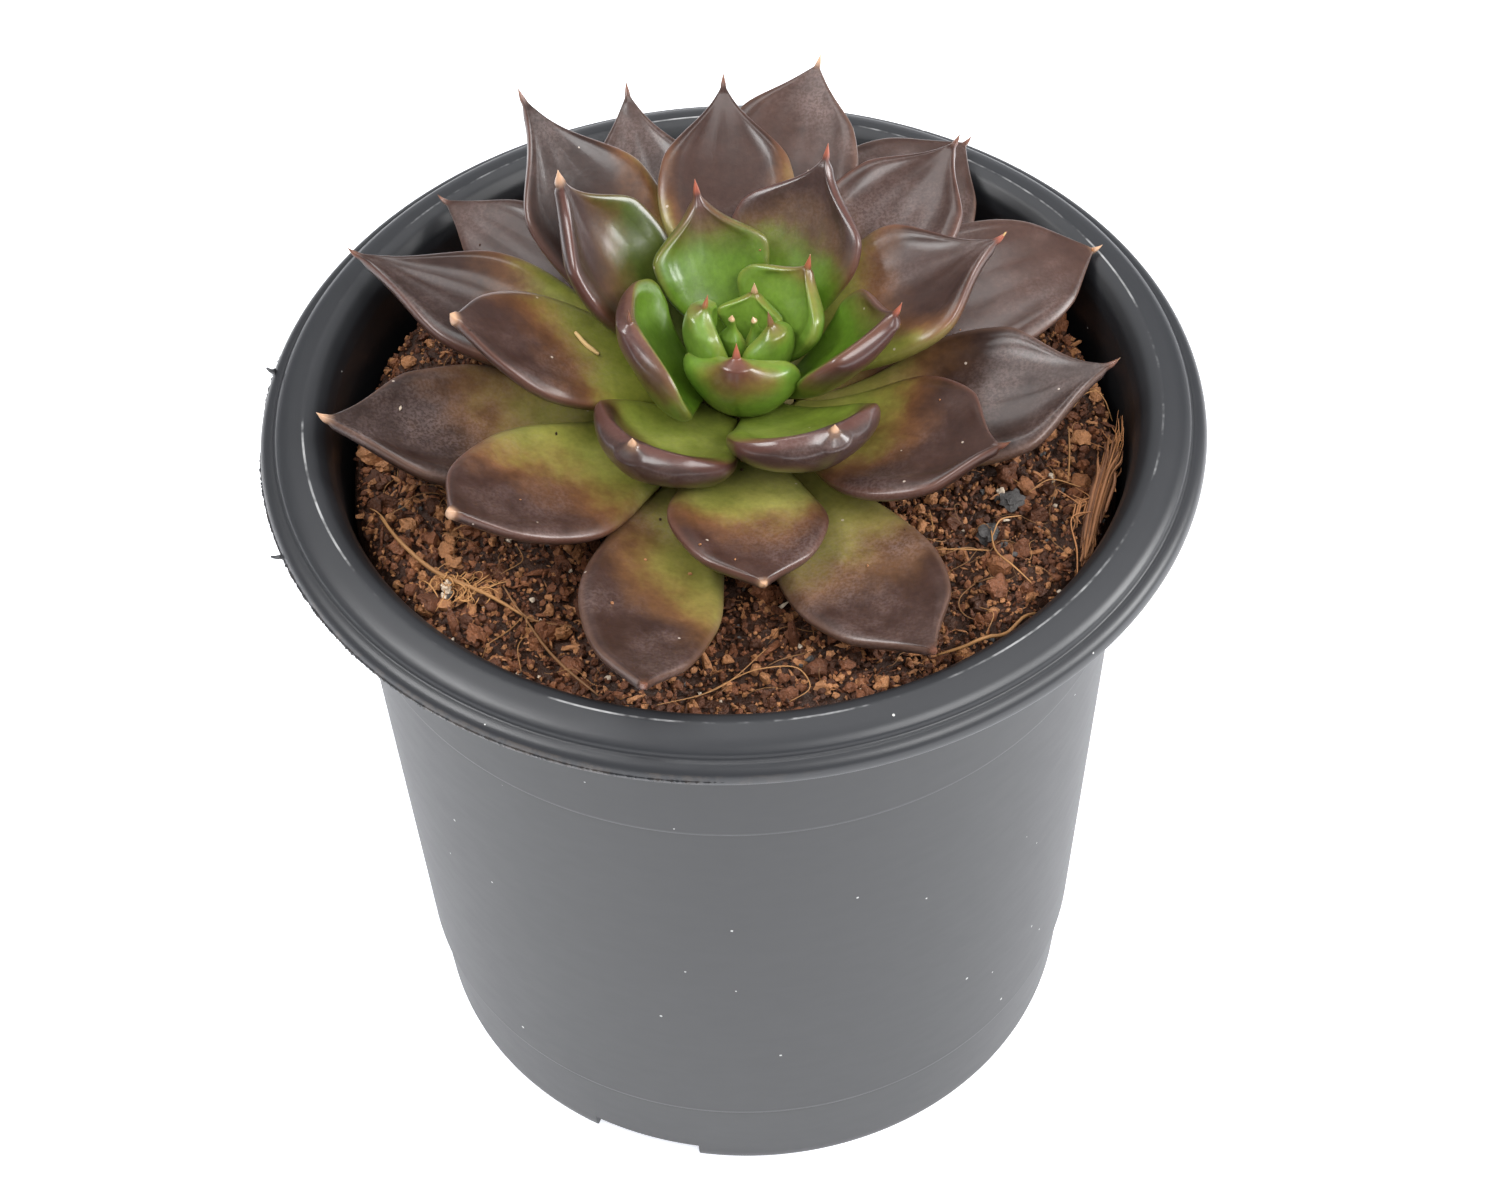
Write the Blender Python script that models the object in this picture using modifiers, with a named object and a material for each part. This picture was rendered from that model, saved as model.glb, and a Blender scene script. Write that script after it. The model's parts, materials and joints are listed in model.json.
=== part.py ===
"""Potted echeveria: a rosette of thick waxy leaves in a filled plastic grower's pot.

Metres, +Z up. The origin is the middle of the pot's foot, on the surface that it stands on.
Each large leaf is a solid of its own, seated round a short stem, and the youngest leaves are
joined in one heart. Azimuths are in degrees from +X, and the plant's front is at -90.
"""

import math
import random
from dataclasses import dataclass

import bmesh
import bpy
from mathutils import Vector

MM = 0.001
GAP = 0.3 * MM

# Pot: a 4 inch grower's pot, 101.6 mm over its lip and 90 mm high.
CREASE_R, CREASE_Z = 45.9 * MM, 90.0 * MM
LIP_R, LIP_Z = 50.8 * MM, 86.6 * MM
LIP_THICK = 1.2 * MM
COLLAR_R = 43.65 * MM
LEDGE_R, LEDGE_Z = 42.6 * MM, 67.8 * MM
STEP_R, STEP_Z = 39.0 * MM, 11.3 * MM
FOOT_R = 38.0 * MM
FOOT_RING_R = 35.2 * MM
FLOOR_UNDER_Z, FLOOR_TOP_Z = 2.6 * MM, 3.9 * MM
WALL = 1.2 * MM
POT_STEPS = 64
NOTCH_AZIMUTHS = (-111.0, 9.0, 129.0)
NOTCH_WIDTH, NOTCH_HIGH = 13.0 * MM, 2.4 * MM
DRAIN_COUNT = 5
DRAIN_R, DRAIN_RING_R = 4.0 * MM, 22.0 * MM

# Potting mix: it stands below the crease and has shrunk away from the wall.
MIX_TOP_Z, MIX_EDGE_R = 83.0 * MM, 39.6 * MM
MIX_RING_WIDTH = 3.0 * MM
MIX_RELIEF = 0.75 * MM
MIX_WAVES = 14
MIX_CLEAR = 0.35 * MM
CLOD_X, CLOD_Y = 27.2 * MM, 28.8 * MM
CLOD_R, CLOD_RISE = 2.6 * MM, 4.4 * MM
STEM_HOLE_R, STEM_HOLE_Z = 5.5 * MM, 68.0 * MM

# Husk chip: a sliver of coconut husk that lies by the wall.
CHIP_X, CHIP_Y = 38.2 * MM, -10.6 * MM
CHIP_LONG, CHIP_WIDE, CHIP_THICK = 13.0 * MM, 2.4 * MM, 1.4 * MM
CHIP_AZIMUTH = 71.0

# Plant: its axis stands a little off the pot's, and the seats climb and draw in round it.
AXIS_X, AXIS_Y = 1.5 * MM, 1.0 * MM
SEAT_R, SEAT_LEAST_R = 5.8 * MM, 2.6 * MM
SEAT_TURN_Z, SEAT_FALL = 88.0 * MM, 0.43
SEAT_CLEAR = 0.7 * MM
STEM_FOOT_Z, STEM_TOP_Z = 70.0 * MM, 90.2 * MM
STEM_STEPS = 24
HEART_TOP_Z = 97.0 * MM

# Shape that the leaves share. Shares are of the length, the half width or the thickness.
MIDRIB_STEPS = 80
BLADE_STATIONS = 10
BLADE_ACROSS = 6
BLADE_END = 0.985
UPPER_SHARE = 0.28
LEAST_THICK = 0.7 * MM


@dataclass(frozen=True)
class Leaf:
    """One leaf. Angles are in degrees and lengths in millimetres."""

    name: str
    azimuth: float
    seat: float
    length: float
    width: float
    rise: float
    tip_rise: float
    cup: float
    sway: float = 0.0
    roll: float = 0.0
    thick: float = 3.3
    bend: float = 1.3
    base: float = 0.27
    widest: float = 0.64
    seat_radius: float = 0.0
    point: float = 1.2


# Leaf("name", azimuth, seat height, length, width, rise at base, rise at tip, edge slope, ...)
LEAVES = (
    Leaf("outer_leaf_1", 189, 86.0, 40.5, 19.0, 0, 32, 24, sway=3, roll=-4),
    Leaf("outer_leaf_2", 243, 85.4, 45.5, 15.5, 3, 30, 7, sway=32, roll=-14),
    Leaf("outer_leaf_3", 292, 85.8, 39.0, 17.0, 1, 21, 9, sway=3, roll=5),
    Leaf("outer_leaf_4", -14, 87.3, 34.0, 18.0, 6, 23, 19, sway=19, roll=13, base=0.24),
    Leaf("outer_leaf_5", 27, 86.4, 38.0, 18.5, 16, -6, 6, sway=-3, roll=14),
    Leaf("outer_leaf_6", 62, 84.8, 40.0, 21.0, 16, 1, 4, sway=-17, roll=12),
    Leaf("outer_leaf_7", 83, 87.0, 38.0, 18.0, 22, 21, 20, sway=-15, roll=4),
    Leaf("outer_leaf_8", 114, 84.6, 40.5, 19.0, 6, 29, 7, sway=-19, roll=-12),
    Leaf("outer_leaf_9", 136, 86.4, 39.0, 13.0, 12, 2, 4, sway=4, roll=-16),
    Leaf("middle_leaf_1", 213, 87.9, 36.5, 17.5, 5, 37, 6, sway=19, roll=-10),
    Leaf("middle_leaf_2", 266, 87.5, 26.0, 17.5, 12, 12, 7, sway=14, roll=-7),
    Leaf("middle_leaf_3", 319, 89.1, 27.0, 19.0, 11, 25, 17, sway=18, roll=5),
    Leaf("middle_leaf_4", 46, 88.7, 32.5, 16.5, 24, 15, 24, sway=5, roll=8),
    Leaf("middle_leaf_5", 95, 90.3, 32.0, 16.0, 31, 17, 15, sway=-7, roll=3),
    Leaf("middle_leaf_6", 130, 89.1, 36.0, 17.5, 22, 43, 10, sway=-1, roll=3),
    Leaf("middle_leaf_7", 163, 87.8, 40.0, 15.5, 15, 9, 23, sway=-10, roll=-2),
    Leaf("middle_leaf_8", 17, 90.3, 26.5, 18.0, 30, 20, 24, sway=2, roll=3),
    Leaf("middle_leaf_9", 178, 89.5, 29.0, 16.5, 23, 40, 4, sway=17, roll=-2),
    Leaf("upper_leaf_1", 146, 90.6, 26.5, 16.5, 28, 74, 38, sway=6, roll=2, thick=2.7, base=0.2),
    Leaf("upper_leaf_2", 62, 91.5, 22.0, 17.0, 38, 62, 27, sway=-6, roll=-3, thick=2.7),
    Leaf("upper_leaf_3", 289, 90.6, 20.5, 18.5, 22, 71, 29, 16, -8, thick=2.9, bend=2.6, widest=0.7),
    Leaf("upper_leaf_4", 234, 89.9, 19.5, 18.5, 14, 77, 35, 5, -4, thick=2.9, bend=2.6, widest=0.7),
    Leaf("inner_leaf_1", 110, 92.5, 17.0, 14.0, 47, 63, 38, sway=-4, roll=-6, thick=2.7),
    Leaf("inner_leaf_2", 337, 91.4, 18.0, 15.0, 41, 52, 45, sway=17, roll=2, thick=2.7, base=0.24),
    Leaf("inner_leaf_3", 194, 91.6, 15.5, 20.0, 36, 84, 18, sway=21, roll=-17, thick=2.7, base=0.22),
)

# The heart's own leaves, from the outermost in to the bud.
HEART_LEAVES = (
    Leaf("front", 266, 91.6, 11.0, 15.5, 30, 104, 55, roll=3, thick=2.3, base=0.4, seat_radius=2.6),
    Leaf("back_right", 32, 93.1, 11.5, 14.0, 56, 63, 39, roll=5, thick=2.2, base=0.4, seat_radius=2.4),
    Leaf("back_left", 150, 94.3, 9.0, 9.5, 42, 112, 31, roll=2, thick=2.0, base=0.4, seat_radius=2.2),
    Leaf("right", 328, 93.2, 7.0, 7.5, 43, 117, 47, thick=1.8, base=0.4, seat_radius=1.8),
    Leaf("back", 70, 96.2, 4.5, 6.5, 56, 84, 38, thick=1.6, base=0.45, seat_radius=0.8),
    Leaf("bud_left", 158, 95.9, 3.1, 3.4, 76, 100, 40, thick=1.2, base=0.5, seat_radius=0.6, point=0.5),
    Leaf("bud_right", 10, 95.6, 3.2, 3.2, 82, 110, 40, thick=1.2, base=0.5, seat_radius=0.6, point=0.5),
)


def clamp(value, low, high):
    """The value, kept between low and high."""
    return max(low, min(high, value))


def new_material(name, colour, roughness, metallic=0.0):
    """Principled material of one plain colour."""
    material = bpy.data.materials.new(name)
    material.use_nodes = True
    shader = material.node_tree.nodes["Principled BSDF"]
    shader.inputs["Base Color"].default_value = (*colour, 1.0)
    shader.inputs["Roughness"].default_value = roughness
    shader.inputs["Metallic"].default_value = metallic
    material.diffuse_color = (*colour, 1.0)
    return material


def new_object(name, mesh, collection, material=None):
    """Object of that mesh in the collection."""
    obj = bpy.data.objects.new(name, mesh)
    collection.objects.link(obj)
    if material:
        mesh.materials.append(material)
    return obj


def mesh_of(name, bm):
    """Mesh made from a bmesh, which is then freed."""
    mesh = bpy.data.meshes.new(name)
    bm.to_mesh(mesh)
    bm.free()
    return mesh


def turned(name, profile, collection, material, centre=(0.0, 0.0), steps=POT_STEPS):
    """Profile of (radius, z) points turned about an upright axis through centre."""
    bm = bmesh.new()
    verts = [bm.verts.new((r, 0.0, z)) for r, z in profile]
    for a, b in zip(verts, verts[1:]):
        bm.edges.new((a, b))
    obj = new_object(name, mesh_of(name, bm), collection, material)
    obj.location = (*centre, 0.0)
    screw = obj.modifiers.new("Turn", "SCREW")
    screw.steps = steps
    screw.render_steps = steps
    screw.use_merge_vertices = True
    screw.merge_threshold = 0.00001
    screw.use_smooth_shade = True
    return obj


def applied(obj):
    """The object with its modifiers applied to its mesh."""
    graph = bpy.context.evaluated_depsgraph_get()
    graph.update()
    mesh = bpy.data.meshes.new_from_object(obj.evaluated_get(graph))
    obj.modifiers.clear()
    obj.data = mesh
    return obj


def cylinder_cutter(name, radius, low, high, centre, cutters, segments=32):
    """Upright cylinder that a Boolean takes away."""
    bm = bmesh.new()
    depth = high - low
    bmesh.ops.create_cone(
        bm, cap_ends=True, segments=segments, radius1=radius, radius2=radius, depth=depth
    )
    cutter = new_object(name, mesh_of(name, bm), cutters)
    cutter.location = (*centre, (low + high) / 2)
    cutter.hide_render = True
    cutter.display_type = "WIRE"
    return cutter


def cut(obj, cutter):
    """Takes the cutter away from the object."""
    boolean = obj.modifiers.new(cutter.name, "BOOLEAN")
    boolean.operation = "DIFFERENCE"
    boolean.solver = "EXACT"
    boolean.object = cutter


def outer_wall():
    """(radius, z) points up the outside of the pot's wall, from above the foot to the collar."""
    return [
        (FOOT_R, 1.2 * MM),
        (STEP_R - 0.2 * MM, STEP_Z - 0.2 * MM),
        (STEP_R + 0.2 * MM, STEP_Z + 0.2 * MM),
        (LEDGE_R - 0.15 * MM, LEDGE_Z - 0.2 * MM),
        (LEDGE_R + 0.25 * MM, LEDGE_Z + 0.2 * MM),
        (COLLAR_R, 86.0 * MM),
    ]


def inner_wall():
    """(radius, z) points up the inside of the pot's wall, which is drawn without the steps."""
    return [
        (FOOT_R - WALL + 0.3 * MM, 4.7 * MM),
        (STEP_R - WALL, STEP_Z),
        (LEDGE_R - WALL - 0.1 * MM, LEDGE_Z),
        (COLLAR_R - WALL + 0.1 * MM, 84.0 * MM),
    ]


def rim():
    """(radius, z) points over the rolled rim, from inside the collar round to under it."""
    crease_in = [
        (CREASE_R - 2.9 * MM, CREASE_Z - 2.7 * MM),
        (CREASE_R - 2.3 * MM, CREASE_Z - 1.4 * MM),
        (CREASE_R - 1.3 * MM, CREASE_Z - 0.4 * MM),
        (CREASE_R, CREASE_Z),
    ]
    shoulder = [
        (CREASE_R + 2.6 * MM, CREASE_Z - 0.75 * MM),
        (LIP_R - 1.4 * MM, LIP_Z + 2.2 * MM),
        (LIP_R - 0.9 * MM, LIP_Z + 1.7 * MM),
        (LIP_R - 0.8 * MM, LIP_Z + 1.15 * MM),
        (LIP_R - 1.05 * MM, LIP_Z + 0.85 * MM),
    ]
    lip = [
        (LIP_R - 0.3 * MM, LIP_Z + 0.6 * MM),
        (LIP_R, LIP_Z + 0.2 * MM),
        (LIP_R, LIP_Z - 0.25 * MM),
        (LIP_R - 0.3 * MM, LIP_Z - 0.6 * MM),
        (LIP_R - LIP_THICK, LIP_Z - 0.5 * MM),
    ]
    under = [
        (LIP_R - LIP_THICK - 0.3 * MM, LIP_Z + 0.8 * MM),
        (LIP_R - LIP_THICK - 1.4 * MM, LIP_Z + 1.4 * MM),
        (CREASE_R + 0.4 * MM, CREASE_Z - 1.3 * MM),
        (CREASE_R - 1.3 * MM, CREASE_Z - 1.7 * MM),
        (COLLAR_R + 0.1 * MM, CREASE_Z - 2.5 * MM),
    ]
    return crease_in + shoulder + lip + under


def foot():
    """(radius, z) points round the foot ring and in under the floor."""
    return [
        (FOOT_R - 0.2 * MM, 0.4 * MM),
        (FOOT_R - 0.6 * MM, 0.0),
        (FOOT_RING_R, 0.0),
        (FOOT_RING_R - 0.4 * MM, FLOOR_UNDER_Z),
        (0.0, FLOOR_UNDER_Z),
    ]


def make_pot(collection, cutters):
    """Pot with a rolled rim, two steps in its wall, foot notches and drain holes."""
    floor = [(0.0, FLOOR_TOP_Z), (FOOT_R - WALL - 0.5 * MM, FLOOR_TOP_Z)]
    profile = floor + inner_wall() + rim() + outer_wall()[::-1] + foot()
    black = new_material("pot_plastic", (0.10, 0.105, 0.11), 0.42)
    pot = turned("pot", profile, collection, black)
    for index, azimuth in enumerate(NOTCH_AZIMUTHS):
        notch_cutter(index, math.radians(azimuth), pot, cutters)
    for index in range(DRAIN_COUNT):
        turn = 2 * math.pi * (index + 0.5) / DRAIN_COUNT
        centre = (DRAIN_RING_R * math.cos(turn), DRAIN_RING_R * math.sin(turn))
        name = f"drain_cutter_{index + 1}"
        cut(pot, cylinder_cutter(name, DRAIN_R, 1.5 * MM, 5.0 * MM, centre, cutters, segments=24))
    return pot


def notch_cutter(index, azimuth, pot, cutters):
    """Takes one water notch out of the pot's foot ring."""
    bm = bmesh.new()
    bmesh.ops.create_cube(bm, size=1.0)
    bmesh.ops.scale(bm, vec=(6.0 * MM, NOTCH_WIDTH, 2 * NOTCH_HIGH), verts=bm.verts)
    cutter = new_object(f"notch_cutter_{index + 1}", mesh_of("notch", bm), cutters)
    middle = (FOOT_R + FOOT_RING_R) / 2
    cutter.location = (middle * math.cos(azimuth), middle * math.sin(azimuth), 0.0)
    cutter.rotation_euler.z = azimuth
    cutter.hide_render = True
    cutter.display_type = "WIRE"
    cut(pot, cutter)


def crumb_waves():
    """Waves whose sum is the potting mix's relief: (x rate, y rate, phase, height)."""
    rng = random.Random(11)
    waves = []
    for _ in range(MIX_WAVES):
        turn = rng.uniform(0.0, 2 * math.pi)
        rate = 2 * math.pi / rng.uniform(7.0 * MM, 19.0 * MM)
        waves.append((rate * math.cos(turn), rate * math.sin(turn), rng.uniform(0.0, 6.28), rng.random()))
    total = sum(wave[3] for wave in waves)
    return [(kx, ky, phase, height / total) for kx, ky, phase, height in waves]


WAVES = crumb_waves()


def mix_rise(x, y):
    """How far the potting mix stands above its mean top at (x, y)."""
    ripple = sum(height * math.sin(kx * x + ky * y + phase) for kx, ky, phase, height in WAVES)
    rise = clamp(2.2 * ripple, -1.0, 1.0) * MIX_RELIEF
    away = math.hypot(x - CLOD_X, y - CLOD_Y) / CLOD_R
    return rise + CLOD_RISE * math.exp(-(away**4))


def make_mix(collection, cutters):
    """Potting mix: a rough top, a trough along the wall, and a hole where the stem stands."""
    rings = int(MIX_EDGE_R / MIX_RING_WIDTH)
    top = [(MIX_EDGE_R * step / rings, MIX_TOP_Z) for step in range(rings + 1)]
    trough = [
        (MIX_EDGE_R + 1.0 * MM, MIX_TOP_Z - 0.8 * MM),
        (MIX_EDGE_R + 1.7 * MM, MIX_TOP_Z - 2.6 * MM),
        (MIX_EDGE_R + 2.0 * MM, MIX_TOP_Z - 5.0 * MM),
    ]
    side = [(r - MIX_CLEAR, z) for r, z in inner_wall()[-2::-1]]
    bottom = [(FOOT_R - WALL - 1.0 * MM, FLOOR_TOP_Z + MIX_CLEAR), (0.0, FLOOR_TOP_Z + MIX_CLEAR)]
    brown = new_material("coir_mix", (0.16, 0.075, 0.04), 0.9)
    mix = applied(turned("potting_mix", top + trough + side + bottom, collection, brown))
    for vertex in mix.data.vertices:
        x, y, z = vertex.co
        if z > MIX_TOP_Z - 1.0 * MM:
            vertex.co.z = z + mix_rise(x, y)
    axis = (AXIS_X, AXIS_Y)
    cut(mix, cylinder_cutter("stem_cutter", STEM_HOLE_R, STEM_HOLE_Z, CREASE_Z, axis, cutters))
    return mix


def make_chip(collection):
    """Sliver of husk, tapered at its ends, that lies on the potting mix by the wall."""
    bm = bmesh.new()
    bmesh.ops.create_cube(bm, size=1.0)
    bmesh.ops.subdivide_edges(
        bm, edges=[e for e in bm.edges if abs(e.verts[0].co.x - e.verts[1].co.x) > 0.5], cuts=4
    )
    turn = math.radians(CHIP_AZIMUTH)
    for vertex in bm.verts:
        along, across, up = vertex.co
        slim = 1.0 - 1.2 * along * along
        vertex.co.x = along * CHIP_LONG
        vertex.co.y = (across * slim + 0.25 * along * along) * CHIP_WIDE
        vertex.co.z = up * CHIP_THICK * (0.6 + 0.4 * slim)
    reach = CHIP_LONG / 2
    spots = [(CHIP_X + reach * k * math.cos(turn), CHIP_Y + reach * k * math.sin(turn)) for k in (-1, 0, 1)]
    high = max(mix_rise(x, y) for x, y in spots)
    straw = new_material("husk", (0.36, 0.22, 0.12), 0.8)
    chip = new_object("husk_chip", mesh_of("husk_chip", bm), collection, straw)
    chip.location = (CHIP_X, CHIP_Y, MIX_TOP_Z + high + GAP + CHIP_THICK / 2 + 0.2 * MM)
    chip.rotation_euler.z = turn
    return chip


def seat_radius(z):
    """Distance from the plant's axis to the base of a leaf that is seated at z."""
    return clamp(SEAT_R - (z - SEAT_TURN_Z) * SEAT_FALL, SEAT_LEAST_R, SEAT_R)


def make_stem(collection):
    """Stem, which stands in the mix and carries the large leaves' seats."""
    turn_r = seat_radius(SEAT_TURN_Z) - SEAT_CLEAR
    top_r = seat_radius(STEM_TOP_Z) - SEAT_CLEAR
    profile = [
        (0.0, STEM_TOP_Z),
        (top_r - 0.5 * MM, STEM_TOP_Z),
        (top_r, STEM_TOP_Z - 0.4 * MM),
        (turn_r, SEAT_TURN_Z),
        (turn_r, STEM_FOOT_Z + 4.0 * MM),
        (0.6 * turn_r, STEM_FOOT_Z),
        (0.0, STEM_FOOT_Z),
    ]
    bark = new_material("stem_bark", (0.22, 0.17, 0.09), 0.7)
    return turned("stem", profile, collection, bark, (AXIS_X, AXIS_Y), STEM_STEPS)


def half_width(leaf, s):
    """Half the blade's width at share s of its length."""
    grow = math.sin(math.pi / 2 * min(1.0, s / leaf.widest)) ** 1.5
    return 0.5 * leaf.width * MM * (leaf.base + (1 - leaf.base) * grow) * (1 - s**6)


def thickness(leaf, s):
    """Blade's thickness along its midrib at share s of its length."""
    swell = 0.5 + 0.5 * math.sin(math.pi / 2 * min(1.0, s / 0.45))
    thin = 1 - 0.72 * max(0.0, (s - 0.55) / 0.45) ** 1.6
    return max(LEAST_THICK, leaf.thick * MM * swell * thin)


def directions(leaf, s):
    """Unit vectors at share s: along the midrib, across the blade, and out of its upper face."""
    rise = math.radians(leaf.rise + (leaf.tip_rise - leaf.rise) * s**leaf.bend)
    turn = math.radians(leaf.azimuth + leaf.sway * s)
    roll = math.radians(leaf.roll) * min(1.0, s / 0.4)
    along = Vector((math.cos(rise) * math.cos(turn), math.cos(rise) * math.sin(turn), math.sin(rise)))
    level = Vector((-math.sin(turn), math.cos(turn), 0.0))
    out = along.cross(level)
    across = level * math.cos(roll) + out * math.sin(roll)
    return along, across, out * math.cos(roll) - level * math.sin(roll)


def midrib(leaf):
    """Points of the leaf's midrib, from its seat to its tip."""
    turn = math.radians(leaf.azimuth)
    reach = leaf.seat_radius * MM or seat_radius(leaf.seat * MM)
    points = [Vector((AXIS_X + reach * math.cos(turn), AXIS_Y + reach * math.sin(turn), leaf.seat * MM))]
    step = leaf.length * MM / MIDRIB_STEPS
    for index in range(MIDRIB_STEPS):
        along = directions(leaf, (index + 0.5) / MIDRIB_STEPS)[0]
        points.append(points[-1] + along * step)
    return points


def section(leaf, s, centre):
    """Closed ring of points round the blade at share s: over the upper face, back along the lower."""
    _, across, out = directions(leaf, s)
    half = half_width(leaf, s)
    thick = thickness(leaf, s)
    steepest = math.radians(leaf.cup) * (0.45 + 0.55 * min(1.0, s / 0.5))
    spread = [math.cos(math.pi * k / (BLADE_ACROSS - 1)) for k in range(BLADE_ACROSS)]

    def point(u, share):
        side, size = math.copysign(1.0, u), abs(u)
        slope = steepest * size
        x = math.sin(slope) / steepest
        z = (1 - math.cos(slope)) / steepest
        rest = centre + across * (x * half * side) + out * (z * half)
        normal = out * math.cos(slope) - across * (math.sin(slope) * side)
        return rest + normal * (share * thick * math.sqrt(max(0.0, 1 - size**2.4)))

    upper = [point(u, UPPER_SHARE) for u in spread]
    lower = [point(u, UPPER_SHARE - 1) for u in spread[-2:0:-1]]
    return upper + lower


def leaf_mesh(leaf):
    """Closed leaf: sections from the seat to the tip, split into triangles alike on both faces."""
    path = midrib(leaf)
    bm = bmesh.new()
    rings = []
    for index in range(BLADE_STATIONS):
        s = min(BLADE_END, 1 - (1 - index / (BLADE_STATIONS - 1)) ** 1.35)
        low = int(s * MIDRIB_STEPS)
        centre = path[low].lerp(path[low + 1], s * MIDRIB_STEPS - low)
        rings.append([bm.verts.new(p) for p in section(leaf, s, centre)])
    count = len(rings[0])
    for ring, ahead in zip(rings, rings[1:]):
        for j in range(count):
            a, b = ring[j], ring[(j + 1) % count]
            d, c = ahead[j], ahead[(j + 1) % count]
            if j < BLADE_ACROSS - 1:
                bm.faces.new((a, b, c))
                bm.faces.new((a, c, d))
            else:
                bm.faces.new((a, b, d))
                bm.faces.new((b, c, d))
    along = directions(leaf, 1.0)[0]
    tip = bm.verts.new(path[-1] + along * (leaf.point * MM) + Vector((0, 0, leaf.point * MM / 3)))
    for j in range(count):
        bm.faces.new((rings[-1][j], rings[-1][(j + 1) % count], tip))
    bm.faces.new(rings[0][::-1])
    bmesh.ops.recalc_face_normals(bm, faces=bm.faces)
    return mesh_of(leaf.name, bm)


def leaf_material(leaf):
    """Plain colour of one leaf: duller outside and greener towards the middle."""
    kinds = {"outer": (0.15, 0.10, 0.09), "middle": (0.17, 0.12, 0.09), "upper": (0.18, 0.13, 0.09)}
    colour = kinds.get(leaf.name.split("_")[0], (0.20, 0.26, 0.08))
    return new_material(f"{leaf.name}_wax", colour, 0.35)


def make_heart(collection):
    """Youngest leaves and the bud, joined by the core that they grow from."""
    z = STEM_TOP_Z + GAP
    foot_r = seat_radius(z) - SEAT_CLEAR
    waist_z = z + 2.6 * MM
    waist_r = seat_radius(waist_z) - SEAT_CLEAR
    profile = [(0.0, HEART_TOP_Z), (1.3 * MM, 96.0 * MM), (waist_r, waist_z), (foot_r, z), (0.0, z)]
    green = new_material("heart_wax", (0.24, 0.32, 0.09), 0.35)
    heart = applied(turned("heart", profile, collection, green, (AXIS_X, AXIS_Y), STEM_STEPS))
    grown = bpy.data.collections.new("heart_leaves")
    bpy.context.scene.collection.children.link(grown)
    for leaf in HEART_LEAVES:
        new_object(f"heart_{leaf.name}", leaf_mesh(leaf), grown)
    union = heart.modifiers.new("Grow", "BOOLEAN")
    union.operation = "UNION"
    union.solver = "EXACT"
    union.operand_type = "COLLECTION"
    union.collection = grown
    applied(heart)
    for obj in list(grown.objects):
        bpy.data.objects.remove(obj)
    bpy.data.collections.remove(grown)
    return heart


def main():
    """Builds the potted plant in an empty scene."""
    for obj in list(bpy.data.objects):
        bpy.data.objects.remove(obj)
    plant = bpy.data.collections.new("potted_echeveria")
    cutters = bpy.data.collections.new("cutters")
    bpy.context.scene.collection.children.link(plant)
    bpy.context.scene.collection.children.link(cutters)
    make_pot(plant, cutters)
    make_mix(plant, cutters)
    make_chip(plant)
    make_stem(plant)
    make_heart(plant)
    for leaf in LEAVES:
        new_object(leaf.name, leaf_mesh(leaf), plant, leaf_material(leaf))


main()
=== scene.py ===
"""Looks of the potted echeveria: fine leaves, potting mix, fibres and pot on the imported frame.

Every place is in metres in the frame's own axes, with +Z up and the plant's front at -Y.
"""

import json
import logging
import math
import random
from dataclasses import dataclass, field
from enum import Enum
from typing import Any, Callable, Sequence

import bmesh
import bpy
import numpy as np
from mathutils import Matrix, Vector
from mathutils.bvhtree import BVHTree

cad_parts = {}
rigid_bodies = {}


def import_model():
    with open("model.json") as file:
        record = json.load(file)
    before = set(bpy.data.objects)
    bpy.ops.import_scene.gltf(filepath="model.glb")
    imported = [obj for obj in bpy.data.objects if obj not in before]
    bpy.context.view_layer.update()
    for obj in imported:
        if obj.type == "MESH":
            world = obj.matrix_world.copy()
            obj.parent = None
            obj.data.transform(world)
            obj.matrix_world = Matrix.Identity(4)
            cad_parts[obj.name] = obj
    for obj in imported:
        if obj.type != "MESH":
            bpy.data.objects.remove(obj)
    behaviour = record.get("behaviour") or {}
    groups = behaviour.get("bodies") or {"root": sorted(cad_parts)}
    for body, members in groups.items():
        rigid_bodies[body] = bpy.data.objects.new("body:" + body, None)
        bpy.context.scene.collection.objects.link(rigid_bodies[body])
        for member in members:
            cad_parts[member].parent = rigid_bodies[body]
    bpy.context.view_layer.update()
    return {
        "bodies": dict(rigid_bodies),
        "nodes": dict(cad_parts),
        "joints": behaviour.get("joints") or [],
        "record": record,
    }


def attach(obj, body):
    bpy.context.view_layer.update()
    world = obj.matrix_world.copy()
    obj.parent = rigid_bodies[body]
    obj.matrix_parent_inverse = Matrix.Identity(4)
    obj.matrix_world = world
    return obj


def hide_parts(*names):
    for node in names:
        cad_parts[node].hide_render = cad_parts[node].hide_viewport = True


MM = 0.001
LOG = logging.getLogger("echeveria")
Colour = tuple[float, float, float]
Place = tuple[float, float, float]
Line = list[tuple[float, float]]
Socket = bpy.types.NodeSocket
Build = Callable[[bpy.types.NodeTree], None]

# The rim's crease, which the pot, its finish and the camera all start from.
CREASE_R = 45.9 * MM
CREASE_Z = 90.0 * MM


def srgb(red: float, green: float, blue: float) -> Colour:
    """Linear colour of a screen colour given from 0 to 255."""
    shares = (red / 255, green / 255, blue / 255)
    return tuple(c / 12.92 if c < 0.04045 else ((c + 0.055) / 1.055) ** 2.4 for c in shares)


def ramp(value: Any, low: float, high: float) -> Any:
    """Smooth step from 0 at low to 1 at high, for a number or an array."""
    share = np.clip((value - low) / (high - low), 0.0, 1.0)
    return share * share * (3 - 2 * share)


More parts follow.
